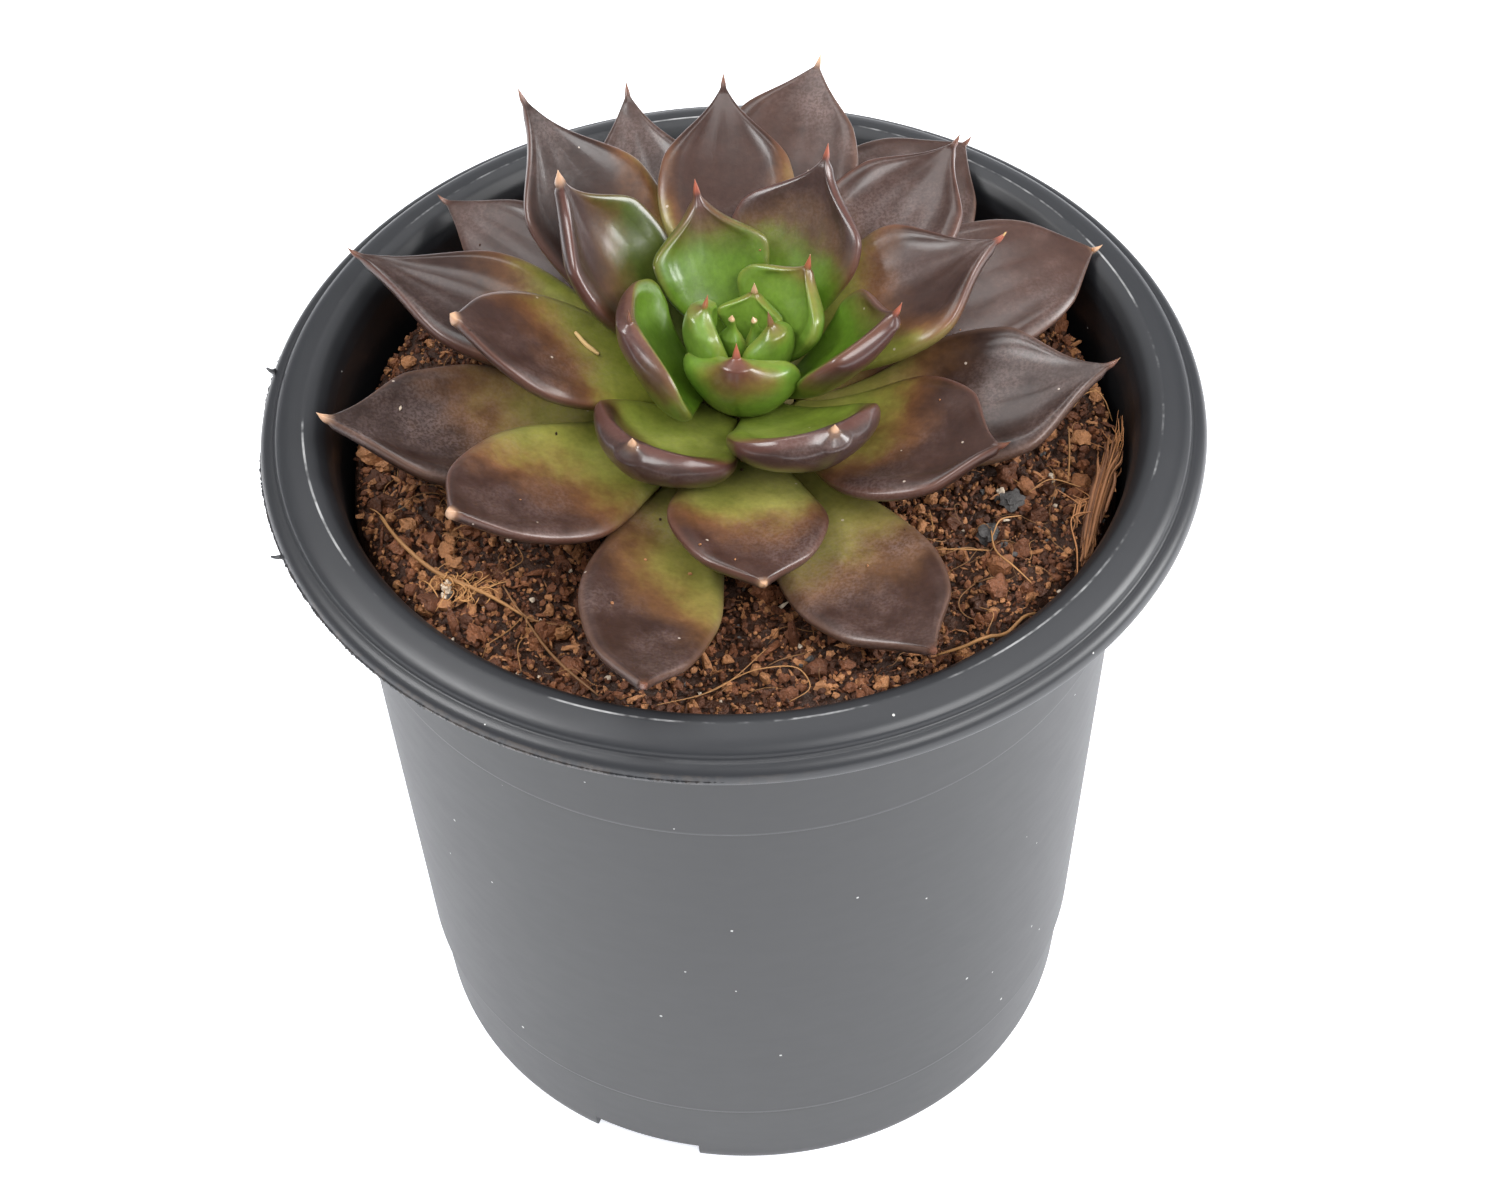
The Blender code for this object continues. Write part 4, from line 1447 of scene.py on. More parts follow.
@dataclass(frozen=True)
class CoirFinish:
    """Crumbly coir. Each crumb's own tone picks its colour."""

    name: str
    dark: Colour = srgb(44, 27, 18)
    red: Colour = srgb(94, 57, 38)
    orange: Colour = srgb(124, 77, 50)
    tan: Colour = srgb(168, 116, 76)
    grey: Colour = srgb(66, 68, 70)
    pale: Colour = srgb(216, 198, 176)
    bump: float = 0.9
    bump_scale: float = 1500.0

    def material(self) -> bpy.types.Material:
        """Makes the crumbs' material.

        Returns:
            The material.
        """
        material, graph, shader = new_material(self.name)
        picker = graph.node("ValToRGB", {0: graph.value("tone")})
        colours = (self.dark, self.red, self.orange, self.tan, self.grey, self.pale)
        elements = picker.color_ramp.elements
        while len(elements) < len(colours):
            elements.new(0.5)
        for element, at, colour in zip(elements, TONES, colours):
            element.position = at
            element.color = (*colour, 1.0)
        inputs = {"Color": picker.outputs[0], "Scale": 700.0, "Strength": 0.5}
        rough = graph.noise(graph.place(), self.bump_scale, 4.0, 0.7)
        graph.feed(shader, {
            "Base Color": graph.group("mottle", build_mottle, inputs).outputs[0],
            "Roughness": graph.step(rough, 0.35, 0.65, 0.36, 0.7),
            "Normal": graph.bump(rough, self.bump, 0.6 * MM),
        })
        return material


# Tones of dark, red and orange coir, of tan husk, of grey stones and of white grains.
TAN, GREY, WHITE = 0.9, 0.94, 0.98
TONES = (0.0, 0.35, 0.7, TAN, GREY, WHITE)

# Dark stones, white grains and one pale crumbling patch: (x, y, size, tone), in millimetres.
PLACED_CRUMBS = (
    (26.5, -16.1, 2.2, GREY), (29.4, -11.6, 1.9, GREY), (33.8, -7.8, 1.0, WHITE), (28.2, -9.9, 0.9, WHITE),
    (12.1, -37.2, 0.9, WHITE), (-33.0, -18.6, 1.0, TAN), (-31.6, -19.8, 1.4, TAN), (-30.3, -20.6, 1.5, WHITE),
    (-29.0, -20.9, 1.5, TAN), (-27.8, -21.8, 1.3, TAN), (-26.4, -22.8, 1.1, TAN), (-30.8, -21.8, 0.9, WHITE),
    (-28.6, -22.6, 1.0, TAN), (-20.6, 12.4, 1.4, GREY), (18.0, -26.4, 1.3, GREY),
)


@dataclass(frozen=True)
class CrumbPlan:
    """One size of loose crumbs: how many places are tried, and the lengths across, in millimetres."""

    name: str
    tries: int
    least: float
    most: float
    detail: int
    seed: int
    placed: bool = False


CRUMB_PLANS = (
    CrumbPlan("crumbs_large", 360, 1.4, 2.6, 3, 31, placed=True),
    CrumbPlan("crumbs_middle", 2400, 0.7, 1.5, 2, 32),
    CrumbPlan("crumbs_small", 8000, 0.45, 1.0, 1, 33),
    CrumbPlan("crumbs_fine", 10400, 0.35, 0.65, 0, 34),
)


@dataclass
class PottingMix:
    """Coir mix: its ground, its loose crumbs and the places that they may fill."""

    top_z: float = 83.0 * MM
    edge_r: float = 39.6 * MM
    relief_high: float = 0.75 * MM
    relief_gain: float = 2.2
    waves: int = 14
    clear: float = 0.35 * MM
    clod_x: float = 27.2 * MM
    clod_y: float = 28.8 * MM
    clod_r: float = 2.6 * MM
    clod_rise: float = 4.4 * MM
    trough_r: tuple[float, ...] = (39.6, 40.6, 41.3, 41.6)
    trough_drop: tuple[float, ...] = (0.0, 0.8, 2.6, 5.0)
    trough_rings: tuple[float, ...] = (40.1, 40.6, 41.0, 41.3, 41.5, 41.6)
    grit: float = 0.22 * MM
    grit_low: float = 0.25 * MM
    around: int = 220
    ring_wide: float = 0.62 * MM
    crumb_r: float = 41.3 * MM
    relief_seed: int = 11
    ground_seed: int = 5
    ground_tone: float = 0.10
    grey_from: float = 0.98
    white_from: float = 0.994
    sliver: Place = (1.7, 0.4, 0.3)
    sliver_share: float = 0.16
    lumpy: float = 0.10
    flats: int = 5
    sharp_angle: float = 38.0
    relief_waves: list[tuple[float, float, float, float]] = field(default_factory=list)

    def __post_init__(self) -> None:
        """Draws the relief's waves in the same order as the part's source."""
        rng = random.Random(self.relief_seed)
        for _ in range(self.waves):
            turn = rng.uniform(0.0, 2 * math.pi)
            rate = 2 * math.pi / rng.uniform(7.0 * MM, 19.0 * MM)
            wave = (rate * math.cos(turn), rate * math.sin(turn), rng.uniform(0.0, 6.28), rng.random())
            self.relief_waves.append(wave)

    def rise(self, x: np.ndarray, y: np.ndarray) -> np.ndarray:
        """How far the mix stands above its mean top.

        Args:
            x: places along X.
            y: places along Y.

        Returns:
            The heights, clod included.
        """
        total = sum(wave[3] for wave in self.relief_waves)
        ripple = sum(h / total * np.sin(kx * x + ky * y + phase) for kx, ky, phase, h in self.relief_waves)
        clod = self.clod_rise * np.exp(-((np.hypot(x - self.clod_x, y - self.clod_y) / self.clod_r) ** 4))
        return np.clip(self.relief_gain * ripple, -1.0, 1.0) * self.relief_high + clod

    def ground(self, x: np.ndarray, y: np.ndarray) -> np.ndarray:
        """Height of the mix, with the trough along the wall.

        Args:
            x: places along X.
            y: places along Y.

        Returns:
            The heights.
        """
        r = np.hypot(x, y)
        drop = np.interp(r / MM, self.trough_r, self.trough_drop) * MM
        inside = 1 - ramp(r, self.edge_r, 40.7 * MM)
        return self.top_z - drop + self.rise(x, y) * inside

    def ground_mesh(self, pot: GrowerPot) -> bpy.types.Mesh:
        """Closed body of the mix, with a fine rough top.

        Args:
            pot: the pot that holds the mix.

        Returns:
            The mesh, with a dark tone kept on its points.
        """
        rng = np.random.default_rng(self.ground_seed)
        radii = np.arange(0.4 * MM, self.edge_r, self.ring_wide)
        turn = np.linspace(0, 2 * math.pi, self.around, endpoint=False)
        rings = []
        for r in np.concatenate([radii, np.array(self.trough_rings) * MM]):
            level = self.ground(r * np.cos(turn), r * np.sin(turn))
            grit = rng.normal(-self.grit_low, self.grit, self.around) * (1 if r < 41 * MM else 0.2)
            rings.append(polar(r, turn, level + grit))
        low = pot.floor_top_z + self.clear
        side = [(r - self.clear, z) for r, z in pot.inner_wall()[-2::-1]]
        side += [(pot.foot_r - pot.wall - 1.0 * MM, low), (0.5 * MM, low)]
        rings += [polar(r, turn, z) for r, z in side]
        faces = [face[::-1] for face in ring_faces(len(rings), self.around, True)]
        points = np.concatenate(rings)
        tones = self.ground_tone * rng.random(len(points))
        return mesh_from_arrays("potting_mix_ground", points, faces, {"tone": tones})

    def build(self, pot: GrowerPot, cover: BVHTree) -> None:
        """Makes the ground and its crumbs.

        Args:
            pot: the pot that holds the mix.
            cover: the leaves, which the crumbs stay under.
        """
        finish = CoirFinish("coir_ground").material()
        add_piece("potting_mix_ground", self.ground_mesh(pot), finish, ["potting_mix"])
        crumb = CoirFinish("coir_crumbs").material()
        for plan in CRUMB_PLANS:
            add_piece(plan.name, self.crumbs(plan, cover), crumb)

    def crumb(self, rng: np.random.Generator, ball: np.ndarray, size: float) -> np.ndarray:
        """One lumpy crumb with a few flats, or a sliver.

        Args:
            rng: source of its form.
            ball: points of a unit ball.
            size: its length across, in metres.

        Returns:
            Its points round its middle.
        """
        stretch = np.array(self.sliver) if rng.random() < self.sliver_share else rng.uniform(0.55, 1.0, 3)
        waves, phases = rng.normal(0.0, 3.6, (3, 6)), rng.uniform(0, 6.28, 6)
        lumps = np.sin(ball @ waves + phases).sum(1, keepdims=True)
        shape = ball * (1 + self.lumpy * lumps + 0.07 * rng.normal(0, 1, (len(ball), 1)))
        for _ in range(self.flats):
            flat = np.array(Vector(rng.normal(0.0, 1.0, 3)).normalized())
            shape = shape - flat * np.maximum(0.0, shape @ flat - rng.uniform(0.5, 0.95))[:, None]
        spin = Matrix.Rotation(rng.uniform(0, 6.28), 3, Vector(rng.normal(0, 1, 3)).normalized())
        return (shape * stretch * size / 2 / 0.8) @ np.array(spin).T

    def wanted(self, plan: CrumbPlan, rng: np.random.Generator) -> list[tuple[float, ...]]:
        """Crumbs to try: the photograph's own ones first, then scattered ones.

        Args:
            plan: the crumbs' size and number.
            rng: source of their places.

        Returns:
            Each one's x, y, size in metres, lift as a share of its size, and tone.
        """
        made = [(x * MM, y * MM, size * MM, 0.35, tone) for x, y, size, tone in PLACED_CRUMBS if plan.placed]
        least, most = plan.least * MM, plan.most * MM
        for _ in range(plan.tries):
            r, turn = self.crumb_r * math.sqrt(rng.random()), rng.uniform(0, 2 * math.pi)
            size = least + (most - least) * rng.random() ** 1.7
            kind, lift = rng.random(), rng.uniform(-0.15, 0.45)
            stone = GREY if kind < self.white_from else WHITE
            tone = min(TAN, rng.random() ** 1.2 + 0.1) if kind < self.grey_from else stone
            if r + 0.4 * size > self.crumb_r:
                continue
            tone = min(TAN, tone) if size > 1.2 * MM else tone
            made.append((r * math.cos(turn), r * math.sin(turn), size, lift, tone))
        return made

    def crumbs(self, plan: CrumbPlan, cover: BVHTree) -> bpy.types.Mesh:
        """Scattered crumbs in one mesh.

        Args:
            plan: their size and number.
            cover: the leaves, which they stay under.

        Returns:
            The mesh, with a tone kept for each crumb.
        """
        rng = np.random.default_rng(plan.seed)
        ball, tris = ball_arrays(plan.detail)
        shapes = []
        for x, y, size, lift, tone in self.wanted(plan, rng):
            z = float(self.ground(np.array(x), np.array(y))) + lift * size
            hit = cover.ray_cast(Vector((x, y, z - 2 * MM)), UP)[0]
            if hit is not None and hit.z < z + 0.55 * size:
                continue
            shapes.append((self.crumb(rng, ball, size) + np.array([x, y, z]), tris, tone))
        mesh = joined_mesh(plan.name, shapes)
        mesh.set_sharp_from_angle(angle=math.radians(self.sharp_angle))
        return mesh


def ball_arrays(detail: int) -> tuple[np.ndarray, np.ndarray]:
    """A unit ball.

    Args:
        detail: its subdivisions. At 0 it is an octahedron.

    Returns:
        Its points and triangles.
    """
    bm = bmesh.new()
    if detail:
        bmesh.ops.create_icosphere(bm, subdivisions=detail, radius=1.0)
    else:
        bmesh.ops.create_uvsphere(bm, u_segments=4, v_segments=2, radius=1.0)
    points = np.array([tuple(v.co) for v in bm.verts])
    tris = np.array([[v.index for v in f.verts] for f in bm.faces])
    bm.free()
    return points, tris


def tube(path: np.ndarray, radii: np.ndarray, sides: int) -> tuple[np.ndarray, np.ndarray]:
    """A closed thin tube of triangles.

    Args:
        path: its middle line's points.
        radii: its radius at each.
        sides: points round it.

    Returns:
        Its points and triangles.
    """
    never_zero = 1e-12
    ahead = np.gradient(path, axis=0)
    ahead /= np.linalg.norm(ahead, axis=1)[:, None] + never_zero
    side = np.cross(ahead, np.array([0.03, 0.02, 1.0]))
    side /= np.linalg.norm(side, axis=1)[:, None] + never_zero
    up = np.cross(side, ahead)
    turn = np.linspace(0, 2 * math.pi, sides, endpoint=False)
    ring = side[:, None] * np.cos(turn)[None, :, None] + up[:, None] * np.sin(turn)[None, :, None]
    points = (path[:, None] + ring * radii[:, None, None]).reshape(-1, 3)
    tris = []
    for a, b, c, d in ring_faces(len(path), sides):
        tris += [(a, b, c), (a, c, d)]
    last = (len(path) - 1) * sides
    for j in range(1, sides - 1):
        tris += [(0, j + 1, j), (last, last + j, last + j + 1)]
    return points, np.array(tris)


def smooth_path(points: Sequence[Place], count: int) -> np.ndarray:
    """A smooth line through the given points.

    Args:
        points: the given points.
        count: how many the line gets.

    Returns:
        The line's points.
    """
    given = np.array(points, float)
    at = np.concatenate([[0], np.cumsum(np.linalg.norm(np.diff(given, axis=0), axis=1))])
    at /= at[-1]
    share = np.linspace(0, 1, count)
    slopes = np.gradient(given, at, axis=0)
    index = np.clip(np.searchsorted(at, share, side="right") - 1, 0, len(at) - 2)
    span = (at[index + 1] - at[index])[:, None]
    t = ((share - at[index]) / (at[index + 1] - at[index]))[:, None]
    a, b, ma, mb = given[index], given[index + 1], slopes[index] * span, slopes[index + 1] * span
    leaving = (2 * t**3 - 3 * t**2 + 1) * a + (t**3 - 2 * t**2 + t) * ma
    return leaving + (3 * t**2 - 2 * t**3) * b + (t**3 - t**2) * mb


UP = Vector((0, 0, 1))


@dataclass(frozen=True)
class FibreFinish:
    """Dry coir fibre, tan to brown by its own tone."""

    name: str = "coir_fibre"
    dark: Colour = srgb(74, 46, 30)
    light: Colour = srgb(188, 138, 86)
    rough: float = 0.62

    def material(self) -> bpy.types.Material:
        """Makes the fibres' material.

        Returns:
            The material.
        """
        material, graph, shader = new_material(self.name)
        place = graph.place()
        share = graph.times_plus(graph.noise(place, 300.0, 3.0), 0.5, graph.times(graph.value("tone"), 0.75))
        graph.feed(shader, {
            "Base Color": graph.mix(graph.minus(share, 0.12), self.dark, self.light),
            "Roughness": self.rough,
            "Normal": graph.bump(graph.noise(place, 2500.0, 2.0), 0.4, 0.1 * MM),
        })
        return material


# Long fibres of the photograph: (radius, tone, (x, y, height above the mix) points), in millimetres.
LONG_FIBRES = (
    (0.26, 0.55, (
        (-37.8, -10.5, 1.3), (-35.6, -14.6, 1.5), (-32.3, -18.4, 1.3), (-28.0, -22.0, 1.5),
        (-22.4, -25.1, 1.2),
    )),
    (0.17, 0.22, ((-22.4, -25.1, 1.2), (-18.6, -31.9, 1.1), (-14.7, -36.8, 0.9))),
    (0.12, 0.18, ((-24.6, -21.5, 1.0), (-22.4, -25.1, 1.4), (-17.4, -26.6, 1.0))),
    (0.07, 0.50, ((-26.8, -30.6, 0.9), (-24.4, -28.2, 1.2), (-22.4, -25.1, 1.3))),
    (0.06, 0.55, ((-22.6, -32.6, 0.9), (-22.9, -29.6, 1.2), (-21.8, -27.0, 1.2))),
    (0.08, 0.70, ((-35.0, -21.4, 0.9), (-31.5, -26.0, 1.0), (-27.8, -29.8, 0.7))),
    (0.06, 0.60, ((-23.2, -15.2, 1.1), (-22.6, -18.0, 1.5), (-24.8, -20.2, 1.2))),
    (0.07, 0.70, ((-39.0, -9.0, 1.4), (-37.8, -10.5, 1.6), (-36.5, -13.0, 1.6))),
    (0.07, 0.80, (
        (-4.4, -36.6, 0.9), (1.8, -34.0, 1.5), (5.8, -34.7, 1.7), (6.7, -37.2, 1.4), (4.6, -38.4, 0.9),
    )),
    (0.06, 0.75, ((-8.8, -38.4, 0.8), (-3.0, -36.2, 1.2), (2.6, -31.6, 1.4))),
    (0.20, 0.62, (
        (19.8, -32.8, 1.6), (23.2, -32.4, 2.6), (26.9, -30.8, 3.0), (29.2, -28.5, 2.8), (31.6, -26.4, 1.6),
    )),
    (0.10, 0.85, ((26.6, -15.9, 1.6), (26.9, -19.5, 1.7), (28.4, -21.9, 1.8), (30.2, -24.1, 1.1))),
    (0.09, 0.85, ((26.7, -17.2, 1.6), (27.6, -15.4, 2.0), (29.9, -14.6, 1.7))),
    (0.09, 0.85, ((20.8, -18.5, 1.4), (23.2, -18.9, 1.8), (26.2, -19.2, 1.6))),
    (0.11, 0.50, ((36.1, -1.5, 1.7), (35.9, -5.0, 1.9), (35.4, -9.1, 1.3))),
    (0.07, 0.65, ((31.0, -11.0, 1.2), (33.4, -9.6, 1.9), (36.6, -10.4, 1.5))),
    (0.07, 0.80, ((20.4, -12.6, 1.3), (20.6, -16.2, 1.4))),
    (0.06, 0.80, ((38.4, 4.3, 1.6), (39.6, 3.4, 2.2), (41.2, 1.0, 2.0))),
    (0.06, 0.85, ((36.9, 1.6, 1.6), (38.4, 2.9, 2.4), (40.4, 3.2, 2.2))),
    (0.05, 0.75, ((24.6, -26.8, 1.2), (25.9, -28.6, 1.6), (25.0, -30.6, 1.0))),
)


@dataclass
class Fibres:
    """Coir fibres that lie on the mix. Each part is a tube's points, its triangles and its tone."""

    count: int = 260
    knot_count: int = 60
    sides: int = 6
    points: int = 14
    long_points: int = 30
    knot_points: int = 10
    scatter_r: float = 38.5 * MM
    most_r: float = 40.3 * MM
    rise: float = 0.55 * MM
    knot_x: float = -29.6
    knot_y: float = -20.9
    seed: int = 77
    parts: list[tuple[np.ndarray, np.ndarray, float]] = field(default_factory=list)

    def add(self, path: np.ndarray, radius: float, tone: float, thin: float = 0.5) -> None:
        """Adds one fibre.

        Args:
            path: its middle line's points.
            radius: its radius at the middle.
            tone: from brown to pale.
            thin: how much thinner its ends are, as a share.
        """
        share = np.linspace(-1, 1, len(path))
        radii = radius * (1 - thin * np.abs(share) ** 3)
        self.parts.append((*tube(path, radii, self.sides), tone))

    def build(self, mix: PottingMix, cover: BVHTree) -> None:
        """Lays the long fibres and the scattered ones, and makes them one piece.

        Args:
            mix: the mix that they lie on.
            cover: the leaves, which they stay under.
        """
        for radius, tone, points in LONG_FIBRES:
            path = smooth_path([(x * MM, y * MM, h * MM) for x, y, h in points], self.long_points)
            path[:, 2] += mix.ground(path[:, 0], path[:, 1])
            self.add(path, radius * MM, tone)
        rng = np.random.default_rng(self.seed)
        for _ in range(self.count):
            self.scatter(rng, mix, cover)
        for _ in range(self.knot_count):
            self.knot(rng, mix)
        add_piece("coir_fibres", joined_mesh("coir_fibres", self.parts), FibreFinish().material())

    def scatter(self, rng: np.random.Generator, mix: PottingMix, cover: BVHTree) -> None:
        """Lays one random fibre where it stays clear of the leaves and the wall.

        Args:
            rng: source of its place and bend.
            mix: the mix that it lies on.
            cover: the leaves.
        """
        r, turn = self.scatter_r * math.sqrt(rng.random()), rng.uniform(0, 6.28)
        heading, curl = rng.uniform(0, 6.28), rng.normal(0, 1.1)
        long = rng.uniform(2.0, 8.0) * MM
        share = np.linspace(0, 1, self.points)
        bend = heading + curl * share + 0.5 * np.sin(share * rng.uniform(3, 9) + rng.uniform(0, 6))
        x = r * math.cos(turn) + np.cumsum(np.cos(bend)) * long / self.points
        y = r * math.sin(turn) + np.cumsum(np.sin(bend)) * long / self.points
        arch = rng.uniform(0.3, 1.6) * MM * np.sin(math.pi * share)
        z = mix.ground(x, y) + self.rise + arch
        radius, tone = rng.uniform(0.025, 0.065) * MM, 0.8 * rng.random()
        if np.hypot(x, y).max() > self.most_r:
            return
        for k in range(0, self.points, 3):
            hit = cover.ray_cast(Vector((x[k], y[k], z[k] - 3 * MM)), UP)[0]
            if hit is not None and hit.z < z[k] + 0.3 * MM:
                return
        self.add(np.stack([x, y, z], 1), radius, tone)

    def knot(self, rng: np.random.Generator, mix: PottingMix) -> None:
        """Adds one pale fluff fibre of the frayed patch on the long fibre at the left.

        Args:
            rng: source of its place and bend.
            mix: the mix that it lies on.
        """
        count = self.knot_points
        share, along = np.linspace(0, 1, count), rng.uniform(-0.5, 0.5)
        heading, curl = rng.normal(-0.5, 0.5), rng.normal(0, 2.0)
        long = rng.uniform(1.0, 3.6) * MM
        bend = heading + curl * share
        x = (self.knot_x + 6.5 * along + rng.normal(0, 0.5)) * MM + np.cumsum(np.cos(bend)) * long / count
        y = (self.knot_y - 3.6 * along + rng.normal(0, 0.6)) * MM + np.cumsum(np.sin(bend)) * long / count
        z = mix.ground(x, y) + rng.uniform(0.6, 1.5) * MM + 0.5 * MM * np.sin(math.pi * share)
        self.add(np.stack([x, y, z], 1), rng.uniform(0.03, 0.08) * MM, rng.uniform(0.9, 1.4))


@dataclass(frozen=True)
class StrandPlan:
    """One kind of husk strand.

    Start and end are shares of the chip's line, loose is how far the ends stray, aside is the shift away from
    the wall, and radius is in millimetres, as those two are. Tone runs from brown to pale.
    """

    count: int
    start: tuple[float, float]
    end: tuple[float, float]
    loose: float
    radius: tuple[float, float]
    tone: tuple[float, float]
    tone_power: float = 1.0
    aside: float = 0.0


@dataclass
class HuskChip:
    """Sliver of husk by the wall: a wedge of brown strands with pale frayed ends."""

    line: tuple[Place, ...] = ((40.9, -4.6, 2.3), (39.5, -9.0, 2.2), (37.6, -15.0, 1.7), (35.9, -22.0, 1.0))
    hanging: tuple[Place, ...] = (
        (37.4, -15.0, 2.4), (35.4, -15.6, 2.6), (35.3, -20.1, 1.8), (34.9, -24.9, 1.0)
    )
    plans: tuple[StrandPlan, ...] = (
        StrandPlan(90, (0.0, 0.35), (0.6, 1.0), 0.5, (0.08, 0.24), (0.0, 0.55), tone_power=1.5),
        StrandPlan(22, (-0.16, 0.0), (0.25, 0.5), 1.5, (0.04, 0.09), (0.7, 1.0)),
        StrandPlan(12, (0.42, 0.5), (0.6, 0.7), 1.3, (0.04, 0.09), (0.7, 1.0), aside=-1.7),
    )
    points: int = 26
    wide: float = 1.25
    narrowing: float = 0.75
    fray: float = 0.3
    least_high: float = 0.5 * MM
    wall_r: float = 41.9 * MM
    seed: int = 9

    def build(self, mix: PottingMix) -> None:
        """Makes the wedge and its frays.

        Args:
            mix: the mix that they lie on.
        """
        rng = np.random.default_rng(self.seed)
        bundle = Fibres(sides=5)
        for plan in self.plans:
            for _ in range(plan.count):
                start, end = rng.uniform(*plan.start), rng.uniform(*plan.end)
                radius = rng.uniform(*plan.radius)
                low, high = plan.tone
                tone = low + (high - low) * rng.random() ** plan.tone_power
                bundle.add(self.strand(mix, rng, plan, start, end), radius * MM, tone)
        hang = smooth_path(self.hanging, self.points) * MM
        hang[:, 2] += mix.top_z
        bundle.add(hang, 0.09 * MM, 0.85)
        finish = FibreFinish("husk_fibre", dark=srgb(66, 38, 26), light=srgb(178, 122, 76)).material()
        add_piece("husk_bundle", joined_mesh("husk_bundle", bundle.parts), finish, ["husk_chip"])

    def strand(
        self, mix: PottingMix, rng: np.random.Generator, plan: StrandPlan, start: float, end: float
    ) -> np.ndarray:
        """Middle line of one strand.

        Args:
            mix: the mix that it lies on.
            rng: source of its unevenness.
            plan: its kind.
            start: share of the chip's line where it starts.
            end: share where it ends.

        Returns:
            Its points, in metres.
        """
        chip = smooth_path(self.line, self.points)
        share = np.linspace(start, end, self.points)
        even = np.linspace(0, 1, self.points)
        path = np.stack([np.interp(share, even, chip[:, k]) for k in range(3)], 1)
        path += (chip[1] - chip[0]) * (np.minimum(share, 0.0) * (self.points - 1))[:, None]
        wide = self.wide - self.narrowing * share
        across, up = rng.normal(0, 0.55), rng.normal(0, 0.42)
        path[:, 0] += across * wide + plan.aside
        path[:, 1] += across * wide * 0.3
        path[:, 2] += up * wide
        frayed = self.fray * (end - start)
        stray = rng.normal(0, plan.loose, 3) * np.array([1.0, 0.5, 0.7])
        path += stray * (ramp(share, start + frayed, start) ** 2)[:, None]
        path += rng.normal(0, 0.4 * plan.loose, 3) * (ramp(share, end - frayed, end) ** 2)[:, None]
        path *= MM
        path[:, 2] = np.maximum(path[:, 2], self.least_high) + mix.top_z
        path[:, :2] *= np.minimum(1.0, self.wall_r / np.hypot(path[:, 0], path[:, 1]))[:, None]
        return path


# Dry bits that lie on the leaves, as (x, y) places in the photograph: straws with radius and tone,
# then specks.
STRAWS = ((((574, 334), (586, 347), (598, 356)), 0.26, 0.9), (((1006, 232), (1003, 236)), 0.1, 0.95))
SPECKS = (
    (400, 409, 0.34, 0.98), (556, 434, 0.26, 0.05), (660, 520, 0.22, 0.1), (700, 545, 0.2, 0.9),
    (690, 574, 0.24, 0.9), (612, 604, 0.3, 0.85), (645, 560, 0.2, 0.85), (868, 566, 0.2, 0.9),
    (905, 530, 0.18, 0.2), (1098, 252, 0.3, 0.9), (1092, 250, 0.24, 0.9), (470, 330, 0.2, 0.1),
    (520, 500, 0.18, 0.9), (940, 400, 0.18, 0.8), (742, 470, 0.2, 0.1), (735, 560, 0.18, 0.9),
    (960, 330, 0.16, 0.9), (480, 245, 0.18, 0.15), (760, 250, 0.14, 0.9),
)


@dataclass
class LeafLitter:
    """Straws and soil specks on the leaves."""

    straw_points: int = 14
    straw_thin: float = 0.3
    speck_sunk: float = 0.3
    speck_seed: int = 61

    def build(self, studio: "Studio", cover: BVHTree) -> None:
        """Lays them where the camera's lines through their places meet the leaves.

        Args:
            studio: holds the camera.
            cover: the leaves.
        """
        litter = Fibres(sides=7)
        for places, radius, tone in STRAWS:
            line = [self.on_leaf(studio, cover, place, radius * MM) for place in places]
            line = [tuple(q) for q in line if q is not None]
            if len(line) > 1:
                litter.add(smooth_path(line, self.straw_points), radius * MM, tone, self.straw_thin)
        straw = FibreFinish("straw", light=srgb(204, 172, 116)).material()
        add_piece("straws_on_leaves", joined_mesh("straws_on_leaves", litter.parts), straw)
        specks = joined_mesh("specks_on_leaves", self.specks(studio, cover))
        add_piece("specks_on_leaves", specks, CoirFinish("coir_specks").material())

    def specks(self, studio: "Studio", cover: BVHTree) -> list[tuple[np.ndarray, np.ndarray, float]]:
        """The specks' shapes.

        Args:
            studio: holds the camera.
            cover: the leaves.

        Returns:
            Each speck's points, triangles and tone.
        """
        ball, tris = ball_arrays(1)
        rng = np.random.default_rng(self.speck_seed)
        shapes = []
        for x, y, radius, tone in SPECKS:
            middle = self.on_leaf(studio, cover, (x, y), self.speck_sunk * radius * MM)
            if middle is not None:
                shape = ball * (1 + 0.25 * rng.normal(0, 1, (len(ball), 1))) * rng.uniform(0.5, 1.0, 3)
                shapes.append((shape * radius * MM + middle, tris, tone))
        return shapes

    def on_leaf(
        self, studio: "Studio", cover: BVHTree, place: tuple[float, float], proud: float
    ) -> np.ndarray | None:
        """The point of the leaf that is seen at a place in the photograph.

        Args:
            studio: holds the camera.
            cover: the leaves.
            place: the place, in the photograph's pixels.
            proud: how far the point stands out of the leaf.

        Returns:
            The point, or None where no leaf is seen.
        """
        start, ahead = studio.sight(place)
        hit, normal = cover.ray_cast(start, ahead)[:2]
        if hit is None:
            return None
        return np.array(hit + normal * proud * (1 if normal.dot(ahead) < 0 else -1))


